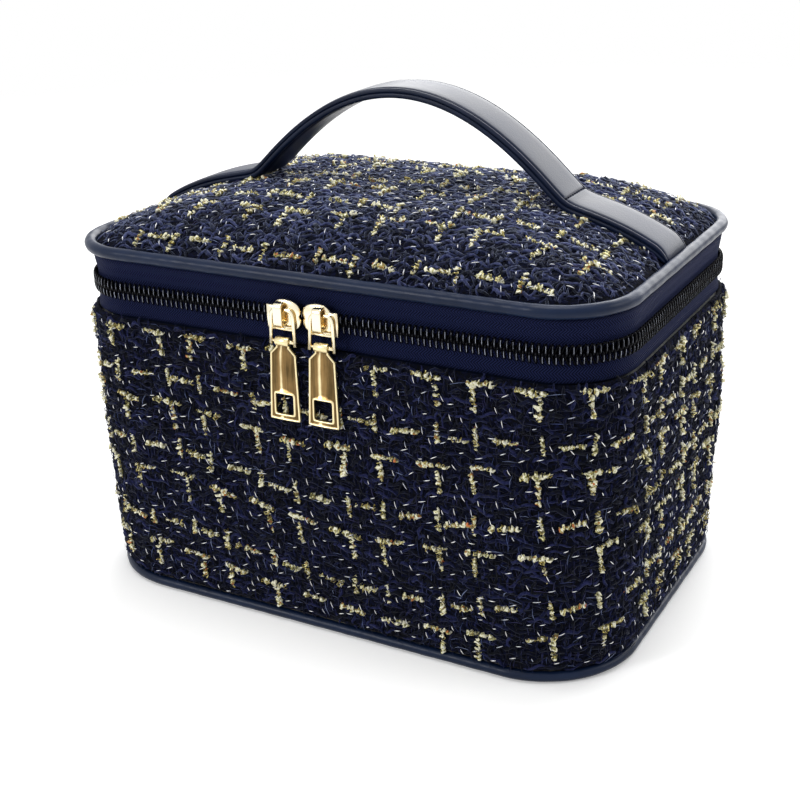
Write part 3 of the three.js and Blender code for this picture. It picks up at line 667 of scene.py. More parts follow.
def lattice(face, u_pitch, v_pitch, jitter, seed):
    """Places on a face in rows, every second row shifted by half a step, each one a little out of place.
    A face is a surface, its two ranges and the rule for the places that it keeps. Gives the places, their
    outward directions, the directions in which u runs, and the generator for further draws."""
    surface, u_range, v_range, keep = face
    rows = round((v_range[1] - v_range[0]) / v_pitch)
    columns = round((u_range[1] - u_range[0]) / u_pitch)
    u, v = np.meshgrid((np.arange(columns) + 0.5) / columns, (np.arange(rows) + 0.5) / rows)
    u = u + 0.5 / columns * (np.arange(rows) % 2)[:, None]
    chance = np.random.default_rng(seed)
    u = u_range[0] + (u_range[1] - u_range[0]) * u + jitter * u_pitch * chance.uniform(-1, 1, u.shape)
    v = v_range[0] + (v_range[1] - v_range[0]) * v + jitter * v_pitch * chance.uniform(-1, 1, v.shape)
    kept = keep(u, v)
    return (*surface_frame(surface, u[kept], v[kept]), chance)


def turned(direction, facing, angle):
    """A direction in a surface turned about the surface's outward direction."""
    return direction * np.cos(angle)[:, None] + np.cross(facing, direction) * np.sin(angle)[:, None]


def yarn_field(name, face, spacing, crosswise, seed, material):
    """One set of navy yarns over a face: the weft, or the warp if crosswise."""
    end_to_end = yarn_length * 0.8
    pitches = (spacing, end_to_end) if crosswise else (end_to_end, spacing)
    place, facing, running, chance = lattice(face, *pitches, 0.3, seed)
    count = len(place)
    angle = chance.normal(0, 0.14, count) + (math.pi / 2 if crosswise else 0)
    growth = np.stack([chance.uniform(0.7, 1.15, count), chance.uniform(0.7, 1.4, count),
                       chance.uniform(0.5, 1.4, count)], -1)
    if crosswise:
        growth = growth * warp_fineness
    return laid(name, curled_yarns(name + "_yarn"), place, facing, turned(running, facing, angle), material,
                growth=growth, shade=chance.uniform(0, 0.45, count), seed=seed, ruffle=0.0009,
                ruffle_size=0.0016)


fibre_length = 0.0045
fibre_pitch = 0.0022


def fibre_field(name, face, seed):
    """Fine loose fibres over the yarns, along the weft or the warp."""
    place, facing, running, chance = lattice(face, fibre_pitch, fibre_pitch, 0.5, seed)
    count = len(place)
    place = place + facing * chance.uniform(0.0002, 0.0011, count)[:, None]
    angle = chance.integers(0, 2, count) * math.pi / 2 + chance.normal(0, 0.2, count)
    growth = np.stack([chance.uniform(0.4, 1.3, count), np.ones(count), chance.uniform(-1, 1.5, count)], -1)
    share = np.array([-0.5, 0.05, 0.5])
    bow = 0.0003 * np.cos(math.pi * share)
    shape = thread_shape(name + "_fibre", np.stack([fibre_length * share, bow, bow], -1),
                         [0.00006, 0.00012, 0.00005], 3)
    return laid(name, [shape], place, facing, turned(running, facing, angle), fibre_material,
                growth=growth, shade=chance.uniform(0, 1, count), seed=seed, ruffle=0.0008,
                ruffle_size=0.002)


# The check: upright lines go in pairs. In every other row the dashes lie on the lines and, with the
# upright dashes that hang from them, make letter Ts. In the rows between they lie beside the lines.
pair_period = 0.0362
pair_half = 0.0071
hang_length = 0.0092
dash_length = 0.0106
row_period = 0.0304
row_drop = 0.0199
slub_lift = 0.0005
looseness = 0.0005


def check_dashes(u_range, v_range, pair_middle, top_row, chance):
    """The check's dashes as rows of (u, v, length, is upright)."""
    dashes = []
    first = math.floor((u_range[0] - pair_middle) / pair_period)
    last = math.ceil((u_range[1] - pair_middle) / pair_period)
    v = top_row + row_period
    while v > v_range[0] - row_period:
        for i in range(first, last + 1):
            middle = pair_middle + i * pair_period
            for side in (-1, 1):
                line = middle + side * pair_half
                loose = chance.normal(0, looseness, 8)
                dashes.append((middle + side * pair_period / 4 + loose[0], v + loose[1],
                               dash_length * chance.uniform(0.82, 1.12), 0))
                dashes.append((line + loose[2], v - hang_length * 0.55 + loose[3],
                               hang_length * chance.uniform(0.8, 1.1), 1))
                dashes.append((line + loose[4], v - row_drop + loose[5],
                               hang_length * chance.uniform(0.65, 0.9), 1))
                dashes.append((middle + (side + 1) * pair_period / 4 + loose[6],
                               v - row_drop + loose[7], dash_length * chance.uniform(0.7, 1.0), 0))
        v -= row_period
    return np.array(dashes)


def slub_shapes(name, thickness, thread, turns, steps, sides, seed, variants=9):
    """Dashes of nubbly yarn, whose thread winds up into three to five nubs and dives into the cloth
    between them."""
    chance = np.random.default_rng(seed)
    shapes = []
    for i in range(variants):
        share = np.linspace(-0.5, 0.5, steps)
        nubs = chance.integers(3, 6)
        middles = (np.arange(nubs) + 0.5 + chance.uniform(-0.25, 0.25, nubs)) / nubs - 0.5
        sizes = chance.uniform(0.45, 1.0, nubs)
        swell = np.max(sizes * np.exp(-((share[:, None] - middles) * nubs / 0.42) ** 2), axis=1)
        angle = np.cumsum(chance.uniform(0.2, 1.8, steps)) * 2 * math.pi * turns / steps
        reach = thickness / 2 * swell * chance.uniform(0.5, 1.1, steps)
        path = np.stack([
            dash_length * share + 0.0004 * np.cos(angle + 1), reach * np.cos(angle),
            thickness * (0.75 * swell - 0.42) + 0.8 * reach * np.sin(angle)], -1)
        radii = thread * (0.6 + 0.7 * swell) * chance.uniform(0.7, 1.3, steps)
        shapes.append(thread_shape(f"{name}_{i}", path, radii, sides))
    return shapes


def slub_fields(name, surface, u_range, v_range, keep, pair_middle, top_row, drape, seed):
    """The check over a surface: a field of ivory slubs, and one of the gold thread that goes with them.
    The drape gives, for flat places in the check, where the cloth's pull has carried them."""
    chance = np.random.default_rng(seed)
    u, v, length, upright = check_dashes(u_range, v_range, pair_middle, top_row, chance).T
    (u, v), (u_on, v_on) = drape(u, v), drape(u + (1 - upright) * 0.002, v + upright * 0.002)
    lean = np.arctan2(v_on - v, u_on - u)
    kept = keep(u, v)
    length, lean = length[kept], lean[kept]
    place, facing, running = surface_frame(surface, u[kept], v[kept])
    place = place + facing * slub_lift
    count = len(place)
    direction = turned(running, facing, lean + chance.normal(0, 0.08, count))
    slubs = slub_shapes(name + "_slub", thickness=0.0027, thread=0.0005, turns=9, steps=40, sides=4,
                        seed=seed)
    gold = slub_shapes(name + "_gold", thickness=0.0031, thread=0.0002, turns=12, steps=50, sides=3,
                       seed=seed + 1)
    fields = []
    for label, shapes, material in (
            ("slubs", slubs, slub_material), ("gold_thread", gold, gold_thread_material)):
        growth = np.stack([length / dash_length, chance.uniform(0.7, 1.2, count),
                           chance.uniform(0.75, 1.15, count)], -1)
        fields.append(laid(f"{name}_{label}", shapes, place, facing, direction, material, growth=growth,
                           shade=chance.uniform(-0.35, 0.45, count), seed=seed, ruffle=0.0009,
                           ruffle_size=0.0011))
    return fields


fleck_length, fleck_radius = 0.0021, 0.00015
fleck_pitch_across, fleck_pitch_up = 0.0064, 0.0056
fleck_lift = 0.0012
fleck_leans = math.radians(16), math.radians(112)


def fleck_field(name, face, seed):
    """Silver flecks in a loose lattice, by turns along the weft and along the warp."""
    place, facing, running, chance = lattice(face, fleck_pitch_across, fleck_pitch_up, 0.35, seed)
    count = len(place)
    place = place + facing * fleck_lift
    angle = np.array(fleck_leans)[chance.integers(0, 2, count)] + chance.normal(0, 0.14, count)
    growth = np.stack([chance.uniform(0.6, 1.3, count), np.ones(count), np.ones(count)], -1)
    share = np.linspace(-0.5, 0.5, 4)
    path = np.stack([fleck_length * share, 0 * share, fleck_radius * np.cos(math.pi * share)], -1)
    shape = thread_shape(name + "_fleck", path, fleck_radius * np.cos(2.4 * share), 4)
    return laid(name, [shape], place, facing, turned(running, facing, angle), fleck_material,
                growth=growth, seed=seed)


def tweed_pile(name, body, face, yarn, spacing, check, seeds):
    """All that lies on a ground cloth: weft, warp, loose fibres, the check's two yarns and the
    flecks."""
    weft, warp, fibres, slubs, flecks = seeds
    pieces = [
        yarn_field(name + "_weft", face, spacing, False, weft, yarn),
        yarn_field(name + "_warp", face, spacing, True, warp, yarn),
        fibre_field(name + "_fibres", face, fibres),
        *slub_fields(name, *check, slubs),
        fleck_field(name + "_flecks", face, flecks)]
    for piece in pieces:
        mount(piece, body, "tweed")
    return pieces


def wall_from_front(u, v):
    """A point on the wall at a distance along it from the middle of the front."""
    return wall_point(mouth_length / 2 + u, v)


check_lean, lean_top, lean_height = 0.008, 0.103, 0.091
check_sag, sag_middle, sag_half_width, sag_height = 0.008, 0.015, 0.075, 0.06


def wall_drape(u, v):
    """The check leans a little to the right going down, and sags between the front's corners."""
    lean = check_lean * (lean_top - v) / lean_height
    across = np.minimum(((u - sag_middle) / sag_half_width) ** 2, 1)
    return u + lean, v + check_sag * across * np.clip((wall_top - v) / sag_height, 0, 1)


wall_u_range = (-mouth_length / 2, mouth_length / 2)
wall_face = (wall_from_front, wall_u_range, (wall_bottom + 0.001, wall_top - 0.0005),
             lambda u, v: (v > wall_bottom) & (v < wall_top))
wall_pair_middle, wall_top_row = 0.0166, 0.1023
wall_check = (wall_from_front, wall_u_range, (0, wall_top),
              lambda u, v: (v > wall_bottom + 0.003) & (v < wall_top - 0.0015),
              wall_pair_middle, wall_top_row, wall_drape)
wall_pile = tweed_pile("tweed_wall", "case", wall_face, wall_yarn, yarn_spacing, wall_check,
                       (11, 12, 13, 21, 31))


# Foam and lining of the wall
# A sheet of foam behind the tweed gives the wall its body, and a woven navy lining covers it inside.
# Both are sewn in with the tweed at the mouth and lie on the base board below.

# Polyurethane foam: it gives the eye a matt pale grey with darker cells.
foam_material, tree, place = new_material("polyurethane_foam")
cells = add_node(tree, "ShaderNodeTexVoronoi", inputs={"Vector": place, "Scale": 1000 / 0.8})
shade = add_node(tree, "ShaderNodeValToRGB", inputs={"Fac": cells.outputs["Distance"]}, stops=[
    (0.1, "#8f8f8a"), (0.6, "#cfcfc9")])
finish_material(tree, {"Base Color": shade, "Roughness": 0.95})


# Plain-woven polyester lining: it gives the eye a fine even weave with a slight silky sheen.
# Its threads are drawn about twice as coarse as they are, so that they show.
lining_thread_mm = 0.6
lining_material, tree, place = new_material("navy_woven_lining", "ShaderNodeUVMap", "UV", uv_map="cloth")
warp, weft = (
    add_node(tree, "ShaderNodeTexWave", {"bands_direction": direction}, {
        "Vector": place, "Scale": 1000 / lining_thread_mm / (2 * math.pi) / 3, "Distortion": 0.3})
    for direction in "XY")
weave = add_node(tree, "ShaderNodeMath", {"operation": "MULTIPLY"}, {
    0: warp.outputs["Fac"], 1: weft.outputs["Fac"]})
shade = add_node(tree, "ShaderNodeValToRGB", inputs={"Fac": weave}, stops=[
    (0.1, "#141c36"), (0.8, "#25304f")])
bump = add_node(tree, "ShaderNodeBump", inputs={"Strength": 0.3, "Distance": 0.0002, "Height": weave})
finish_material(tree, {
    "Base Color": shade, "Roughness": 0.6, "Normal": bump,
    "Sheen Weight": 0.2, "Sheen Roughness": 0.3})
layer_bottom = 0.0042
layer_top = 0.1028


def wall_layer(name, inset, thickness, material, spacing=0.004, crease=0.0):
    """A layer inside the tweed wall, following its shape, with soft upright creases if asked."""
    along = around(spacing)
    heights = np.linspace(layer_bottom, layer_top, 26)
    rings = [wall_point(along, h, -inset) for h in heights]
    for h in heights[::-1]:
        soft = crease * (
            np.sin(31 * turn * along + 2 * math.sin(50 * h)) + np.sin(53 * turn * along - 60 * h)
        ) * math.sin(math.pi * h / wall_top)
        rings.append(wall_point(along, h, -inset - thickness - np.maximum(soft, 0)))
    along = np.append(along, mouth_length)
    ring_heights = np.concatenate([heights, heights[::-1], heights[:1]])
    return lofted(name, rings, material, True, lambda r, c, point: (along[c], ring_heights[r]))


wall_foam = wall_layer("wall_foam", inset=0.0025, thickness=0.003, material=foam_material)
mount(wall_foam, "case", "foam", "body_foam_wall")

wall_lining = wall_layer("wall_lining", inset=0.0058, thickness=0.0009, material=lining_material,
                         spacing=0.002, crease=0.0005)
mount(wall_lining, "case", "lining", "body_lining_wall")


def on_plan(ring, column, point):
    """The UV of a level cloth: its own plan, so that its threads run straight across it. The ring and the
    column don't matter to it."""
    return point[:2]


floor_lining_offset = -0.0063
floor_lining_bottom, floor_lining_top = 0.0043, 0.0052
layer_along = around(0.004)
floor_edge = ring_at(layer_along, base_outline, floor_lining_offset, floor_lining_top)
floor_rings = [floor_edge * [share, share, 1] for share in (0.02, 0.2, 0.4, 0.6, 0.8, 0.95, 1.0)]
floor_rings.append(ring_at(layer_along, base_outline, floor_lining_offset, floor_lining_bottom))
floor_rings.append(floor_rings[0] * [1, 1, floor_lining_bottom / floor_lining_top])
floor_lining = lofted("floor_lining", floor_rings, lining_material, uv_at=on_plan)
mount(floor_lining, "case", "lining", "base_lining")


# Mouth binding
# A folded leather tape that closes the raw edges of tweed, foam and lining along the mouth.
# One row of stitches runs along its inner face.
mouth_outline = (mouth_width, mouth_depth, mouth_radius)


def bound_edge(name, bottom, top, outer=-0.0027, inner=-0.0062, round_off=0.0012):
    """A folded tape with round edges, all the way round inside the mouth."""
    section = []
    for centre_offset, centre_height, start in (
            (outer - round_off, top - round_off, 0), (inner + round_off, top - round_off, 90),
            (inner + round_off, bottom + round_off, 180), (outer - round_off, bottom + round_off, 270)):
        for step in range(5):
            angle = math.radians(start + 90 * step / 4)
            section.append((centre_offset + round_off * math.cos(angle),
                            centre_height + round_off * math.sin(angle)))
    along = around(0.002)
    return lofted(name, [ring_at(along, mouth_outline, *station) for station in section],
                  navy_leather, closed_skin=True)


mouth_binding = bound_edge("mouth_binding_tape", bottom=0.1031, top=0.1073)
mount(mouth_binding, "case", "leather", "mouth_binding")

# Sewing thread: bonded navy polyester, slightly shiny and a little paler than the leather.
thread_material = mottled("navy_sewing_thread", 1500.0, detail=2.0, finish={"Roughness": 0.45},
                          stops=[(0.3, "#1c2748"), (0.7, "#46557f")])

stitch_pitch = 0.003


def stitch_shape(name, length=0.0023, radius=0.00028):
    """One stitch, whose ends dive into the holes."""
    share = np.linspace(-0.5, 0.5, 7)
    path = np.stack([length * share, 0 * share, radius * (1.1 * np.cos(math.pi * share) - 0.55)], -1)
    return [thread_shape(name, path, radius * np.cos(1.7 * share) ** 0.5, 6)]


def level_row(along, outline, offset, height):
    """Places in a level row outside an outline, with the outward directions and those along the row."""
    x, y, out_x, out_y = outline_at(along, *outline)
    level = 0 * x
    return (np.stack([x + offset * out_x, y + offset * out_y, height + level], -1),
            np.stack([out_x, out_y, level], -1), np.stack([-out_y, out_x, level], -1))


binding_seam_offset, binding_seam_height = -0.0062, 0.1046
place, outward, running = level_row(
    around(stitch_pitch), mouth_outline, binding_seam_offset, binding_seam_height)
mouth_stitches = laid("mouth_binding_stitches", stitch_shape("mouth_binding_stitches_thread"), place,
                      -outward, running, thread_material)
mount(mouth_stitches, "case", "leather")


# Zip tapes
# Herringbone polyester tape on both sides of the chain, leaning out to the seam on the wall below
# and to the piping above.
zip_height = 0.1145
zip_start = mouth_half_front
zip_end = mouth_length - mouth_half_front
zip_run = zip_end - zip_start
row_width = 0.0036
row_thickness = 0.0015
tape_clearance = 0.0003
tape_thickness = 0.0008
herringbone_width, wale_pitch = 0.0017, 0.00105

# Polyester tape woven in a herringbone: it gives the eye a dark navy band with slanting wales that turn
# back every 1.7 mm. The wales are drawn about twice as coarse as they are, so that they show.
tape_material, tree, place = new_material("herringbone_zip_tape", "ShaderNodeUVMap", "UV", uv_map="cloth")
parts = add_node(tree, "ShaderNodeSeparateXYZ", inputs={"Vector": place})
zigzag = add_node(tree, "ShaderNodeMath", {"operation": "PINGPONG"}, {
    0: parts.outputs["Y"], 1: herringbone_width})
slanted = add_node(tree, "ShaderNodeMath", {"operation": "MULTIPLY_ADD"}, {
    0: zigzag, 1: 1.1, 2: parts.outputs["X"]})
thread_count = add_node(tree, "ShaderNodeMath", {"operation": "MULTIPLY"}, {
    0: slanted, 1: 2 * math.pi / wale_pitch})
wale = add_node(tree, "ShaderNodeMath", {"operation": "SINE"}, {0: thread_count})
shade = add_node(tree, "ShaderNodeValToRGB", inputs={
    "Fac": add_node(tree, "ShaderNodeMapRange", inputs={"Value": wale, "From Min": -1.0})}, stops=[
        (0.1, "#04071a"), (0.9, "#1b2246")])
bump = add_node(tree, "ShaderNodeBump", inputs={"Strength": 0.6, "Distance": 0.00025, "Height": wale})
finish_material(tree, {
    "Base Color": shade, "Roughness": 0.7, "Normal": bump,
    "Specular IOR Level": 0.05, "Sheen Weight": 0.05, "Sheen Roughness": 0.3,
    "Sheen Tint": linear("#7f8cb8")})


def zip_tape(name, side, seam_height, seam_inset):
    """The tape from behind its row of teeth to its seam, above (1) or below (-1) the chain. Its UV runs
    along the zip first, and then across the tape."""
    along = np.linspace(zip_start, zip_end, 320)
    behind = -row_thickness - tape_clearance
    knee = zip_height + side * (row_width + tape_clearance)
    edge = zip_height + side * row_width / 3
    face = [(behind, edge), (behind, (edge + knee) / 2), (behind, knee)]
    for share in (0.08, 0.2, 0.4, 0.6, 0.8, 1.0):
        lean = behind + (-seam_inset - behind) * share ** 0.8
        face.append((lean, knee + (seam_height - knee) * share))
    section = face + [(offset - tape_thickness, height) for offset, height in face[::-1]]
    stations = np.stack([ring_at(along, mouth_outline, *station) for station in section], 1)
    steps = np.diff(np.array(section + section[:1]), axis=0)
    run = np.concatenate([[0], np.cumsum(np.hypot(*steps.T))])
    return lofted(name, stations, tape_material, uv_at=lambda r, c, point: (along[r], run[c]))


rim_seam_height = 0.1259
for label, side, body, seam_height, seam_inset in (
        ("lower", -1, "case", wall_top + 0.0003, 0.0009), ("upper", 1, "lid", rim_seam_height, 0.0006)):
    tape = zip_tape(f"{label}_zip_tape", side, seam_height, seam_inset)
    mount(tape, body, "zip_tape", f"zip_tape_{label}")


# Zip coil
# Two nylon monofilaments wound into flat coils and sewn to the tapes, meshing in the middle.
# Each turn comes out over the front, bends round its head and goes back behind.
coil_pitch = 0.0021
coil_wire = 0.0004
coil_depth = 0.00055
coil_inset = 0.00075
head_gap = 0.0005

# Black nylon monofilament. It gives the eye a near-black row with a thin pale line painted on the crest of
# every turn: a painted highlight, not a colour of the wire. The UV tells the way round the wire and along it.
crest_round, crest_half = 0.75, 0.03
crest_middle_mm, crest_reach_mm = 1.6, 1.0
coil_material, tree, place = new_material("black_nylon_coil")
scuff_and_tick_noise = add_node(tree, "ShaderNodeTexNoise", inputs={"Vector": place, "Scale": 300.0, "Detail": 3.0})
dullness = add_node(tree, "ShaderNodeMapRange", inputs={
    "Value": scuff_and_tick_noise.outputs["Fac"], "To Min": 0.15, "To Max": 0.3})
wire_place = add_node(tree, "ShaderNodeSeparateXYZ", inputs={
    "Vector": add_node(tree, "ShaderNodeUVMap", {"uv_map": "thread"})})
from_crest = add_node(tree, "ShaderNodeMath", {"operation": "COMPARE"}, {
    0: wire_place.outputs["Y"], 1: crest_round, 2: crest_half})
from_middle = add_node(tree, "ShaderNodeMath", {"operation": "COMPARE"}, {
    0: wire_place.outputs["X"], 1: crest_middle_mm, 2: crest_reach_mm})
# Painted highlight: a pale line on the crest of each turn, fainter or brighter with the noise.
painted_tick = add_node(tree, "ShaderNodeMath", {"operation": "MULTIPLY"}, {0: from_crest, 1: from_middle})
painted_tick_strength = add_node(tree, "ShaderNodeMath", {"operation": "MULTIPLY"}, {
    0: painted_tick, 1: scuff_and_tick_noise.outputs["Fac"]})
shade = add_node(tree, "ShaderNodeValToRGB", inputs={"Fac": painted_tick_strength}, stops=[
    (0.3, "#030409"), (0.75, "#ccd2e4")])
finish_material(tree, {"Base Color": shade, "Roughness": dullness, "Specular IOR Level": 0.06})


def coil_row(name, side):
    """One row of the chain. Seen along the zip, a turn is a long loop from the root to the head."""
    turns = round(zip_run / coil_pitch)
    along = zip_start + coil_pitch * (np.arange(turns) + (0.5 if side > 0 else 0.0))
    along = along[along < zip_end - 0.7 * coil_pitch]
    share = np.linspace(0, 1, 15)
    angle = 2 * math.pi * share
    half_reach = (row_width - coil_wire / 2) / 2
    path = np.stack([
        coil_pitch * (np.clip(2 * share - 1, 0, 1) - 0.3) * 0.9,
        side * (half_reach * np.cos(angle) - half_reach + row_width - head_gap),
        coil_depth * np.sin(angle)], -1)
    shape = thread_shape(name + "_turn", path, coil_wire * (1 + 0.25 * np.sin(math.pi * share) ** 4), 6)
    return laid(name, [shape], *level_row(along, mouth_outline, -coil_inset, zip_height), coil_material)


for label, side, body in (("lower", -1, "case"), ("upper", 1, "lid")):
    mount(coil_row(f"{label}_zip_coil", side), body, "zip_teeth", f"zip_teeth_{label}")


# Fabric hinge
# One strip of leather-backed cloth across the back, sewn to the case below and the lid above.
hinge_half_length = mouth_half_front + 0.0004
hinge_outer = mouth_depth / 2 - 0.0004
hinge_bottom, hinge_top = 0.1053, rim_seam_height
hinge_thickness = 0.0017
hinge_heights = np.linspace(hinge_bottom, hinge_top, 30)
hinge_section = [(hinge_outer, h) for h in hinge_heights]
hinge_section += [(hinge_outer - hinge_thickness, h) for h in hinge_heights[::-1]]
hinge_stations = []
for x in np.linspace(-hinge_half_length, hinge_half_length, 60):
    swell = 0.00015 * math.sin(90 * x) + 0.0001 * math.sin(260 * x)
    hinge_stations.append([
        (x, y + swell * math.sin(math.pi * (z - hinge_bottom) / (hinge_top - hinge_bottom)), z)
        for y, z in hinge_section])
hinge = lofted("back_hinge_leather", hinge_stations, navy_leather)
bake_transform(hinge)
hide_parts("hinge_panel_lower", "hinge_panel_upper")

# Two rows of stitches, one along the seam on the case and one along the seam on the lid.
across = np.arange(-hinge_half_length + 0.002, hinge_half_length - 0.001, stitch_pitch)
for name, height, body in (("hinge_lower_stitches", hinge_bottom + 0.0016, "case"),
                           ("hinge_upper_stitches", hinge_top - 0.0018, "lid")):
    place = np.stack([across, hinge_outer + 0 * across, height + 0 * across], -1)
    mount(laid(name, stitch_shape(name + "_thread"), place, (0, 1, 0), (1, 0, 0), thread_material),
          body, "leather")


# Lid panel
# The tweed top, crowned over foam, with its edge sewn in under the piping.
# It carries the same yarns, slubs and flecks as the wall.
rim_width, rim_depth, rim_radius, rim_height = 0.206, 0.134, 0.025, 0.1284
panel_inset = 0.0025
panel_width, panel_depth = rim_width - 2 * panel_inset, rim_depth - 2 * panel_inset
panel_radius = rim_radius - panel_inset
tweed_rim_height = 0.129
dome_rise = 0.0155
lid_waves = 0.0003


def panel_share(x, y):
    """How far out a place on the lid lies: 0 in the middle and 1 at the panel's edge."""
    x, y = np.abs(x), np.abs(y)
    straight_x, straight_y = panel_width / 2 - panel_radius, panel_depth / 2 - panel_radius
    side = np.maximum(x / (panel_width / 2), y / (panel_depth / 2))
    is_corner = (x > side * straight_x) & (y > side * straight_y)
    a = straight_x ** 2 + straight_y ** 2 - panel_radius ** 2
    b = x * straight_x + y * straight_y
    corner = (b - np.sqrt(np.maximum(b ** 2 - a * (x ** 2 + y ** 2), 0))) / a
    return np.where(is_corner, corner, side)


def dome_height(share):
    """The height of the lid's tweed at a share of the way out."""
    return tweed_rim_height + dome_rise * (1 - share ** 4)


def lid_point(x, y):
    """A point on the lid's tweed, which waves a little between its edges."""
    slack = small_waves * np.sin(70 * x + 1) * np.sin(90 * y) + lid_waves * np.sin(190 * x - 60 * y)
    share = np.clip(panel_share(x, y), 0, 1)
    return np.stack([x, y, dome_height(share) + slack * (1 - share ** 6)], -1)


def dome_rings(drop, inset, along, shares):
    """Rings of the lid's form at a drop below the tweed's face, drawn in from its edge by an inset."""
    rings = []
    for share in shares:
        x, y, out_x, out_y = outline_at(
            along, panel_width * share, panel_depth * share, panel_radius * share)
        x, y = x - inset * share * out_x, y - inset * share * out_y
        rings.append(np.stack([x, y, dome_height(share) - drop + 0 * x], -1))
    return rings


lid_along = around(0.003)
lid_shares = np.concatenate([[0.02], np.linspace(0.07, 1, 36)])
outer_rings = dome_rings(0, 0, lid_along, lid_shares)
for ring in outer_rings:
    ring[:, 2] = lid_point(ring[:, 0], ring[:, 1])[:, 2] + weave_relief(ring[:, 0], ring[:, 1])
lid_rings = outer_rings + dome_rings(tweed_thickness, 0, lid_along, lid_shares[::-3])
lid_cloth = lofted("tweed_lid_ground", lid_rings, ground_material)
mount(lid_cloth, "lid", "tweed", "lid_tweed_panel")

# The lid's yarns are a paler copy of the wall's with a stronger sheen. This is painted light, because the lid
# faces the light more than the wall does.
lid_yarn_painted_paler = boucle_yarn("navy_boucle_yarn_painted_paler", 0.75, [
    (0.48, "#010206"), (0.6, "#050817"), (0.72, "#0d122c"), (0.84, "#1c2346"), (0.96, "#3c4268")])
lid_ranges = ((-panel_width / 2, panel_width / 2), (-panel_depth / 2, panel_depth / 2))
lid_face = (lid_point, *lid_ranges, lambda x, y: panel_share(x, y) < 0.985)
lid_pair_middle, lid_top_row = 0.0072, 2 * row_period - 0.009
lid_check = (lid_point, *lid_ranges, lambda x, y: panel_share(x, y) < 0.95,
             lid_pair_middle, lid_top_row, lambda u, v: (u, v))
lid_pile = tweed_pile("tweed_lid", "lid", lid_face, lid_yarn_painted_paler, yarn_spacing * 0.75, lid_check,
                      (41, 42, 43, 22, 32))

layer_shares = np.concatenate([[0.02], np.linspace(0.1, 1, 20)])
lid_layer_inset = 0.0008


def dome_layer(name, top_drop, bottom_drop, material, uv_at=None):
    """A layer under the lid's tweed, between two drops from its face."""
    rings = [ring for drop, shares in ((top_drop, layer_shares), (bottom_drop, layer_shares[::-1]))
             for ring in dome_rings(drop, lid_layer_inset, layer_along, shares)]
    return lofted(name, rings, material, uv_at=uv_at)


lid_foam = dome_layer("lid_foam_sheet", 0.0025, 0.0055, foam_material)
mount(lid_foam, "lid", "foam", "lid_foam")

lid_lining = dome_layer("lid_lining_cloth", 0.0058, 0.0068, lining_material, on_plan)
mount(lid_lining, "lid", "lining", "lid_lining")


# Lid piping and binding
# The rim's leather-covered cord, thicker than the one at the base, sewn in round the tweed panel.
# Inside the rim, a folded tape of the same leather covers the raw edges.
lid_piping = piping("lid_piping_leather", (rim_width, rim_depth, rim_radius), offset=0.0,
                    height=rim_height, radius=0.0022)
mount(lid_piping, "lid", "leather", "lid_piping")
lid_binding = bound_edge("lid_binding_tape", bottom=0.1197, top=0.1219, round_off=0.001)
mount(lid_binding, "lid", "leather", "lid_binding")


# Handle
# Two straps of the same leather glued and sewn over a flat core. They lie on the lid at both ends,
# are caught under the piping, and rise between two cross seams into an arch.
strap_thickness = 0.0038
arch_rise, arch_half_span, arch_shift, arch_blend = 0.034, 0.061, 0.0035, 0.003
strap_end = panel_width / 2 + 0.0013
strap_tuck = 0.0055
tuck_squeeze = 0.58
strap_lift = 0.0003 + strap_thickness / 2
seam_places = (arch_shift - arch_half_span, arch_shift + arch_half_span)


def strap_height(x):
    """The height of the middle of the strap over the floor."""
    resting = dome_height(np.abs(x) / (panel_width / 2)) + strap_lift
    kink = dome_height(arch_half_span / (panel_width / 2)) + strap_lift
    arch = kink + arch_rise * (1 - ((x - arch_shift) / arch_half_span) ** 2)
    return (resting + arch + np.hypot(resting - arch, arch_blend)) / 2


strap_probe = np.linspace(-strap_end, strap_end, 4001)
strap_steps = np.hypot(np.diff(strap_probe), np.diff(strap_height(strap_probe)))
strap_run = np.concatenate([[0], np.cumsum(strap_steps)])
strap_x = np.interp(np.linspace(0, strap_run[-1], 190), strap_run, strap_probe)
strap_x = np.sort(np.concatenate(
    [strap_x] + [seam + np.linspace(-0.0011, 0.0011, 9) for seam in seam_places]))
mm = 0.001
groove = 8.75 * mm
seam_depth, seam_half_width = 0.45 * mm, 0.5 * mm
upper_face = 3 * mm


def strap_point(x, across, lift):
    """A point of the handle, which is pressed flat at both ends and dips at its two cross seams."""
    slope = (strap_height(x + 1e-5) - strap_height(x - 1e-5)) / 2e-5
    up = np.stack([-slope, 0 * slope, 1 + 0 * slope], -1) / np.sqrt(1 + slope ** 2)[:, None]
    tuck = np.clip((np.abs(x) - (strap_end - strap_tuck)) / strap_tuck, 0, 1)
    lift = lift * (1 - tuck_squeeze * tuck ** 2)
    if np.max(lift) > upper_face and abs(across) < groove:
        for seam in seam_places:
            lift = lift - seam_depth * np.exp(-((x - seam) / seam_half_width) ** 2)
    middle = np.stack([x, across + 0 * x, strap_height(x)], -1)
    return middle + up * (lift - strap_thickness / 2)[:, None]


def strap_band(name, section, material):
    """A band along the handle. The section is a list of (across, height over the strap's underside)."""
    stations = [strap_point(strap_x, across, lift) for across, lift in section]
    return lofted(name, np.stack(stations, 1), material)


def mirrored(half):
    """A section from the half with positive across values in millimetres, going round."""
    half = np.array(half) * mm
    return np.concatenate([half, half[::-1] * [-1, 1]])


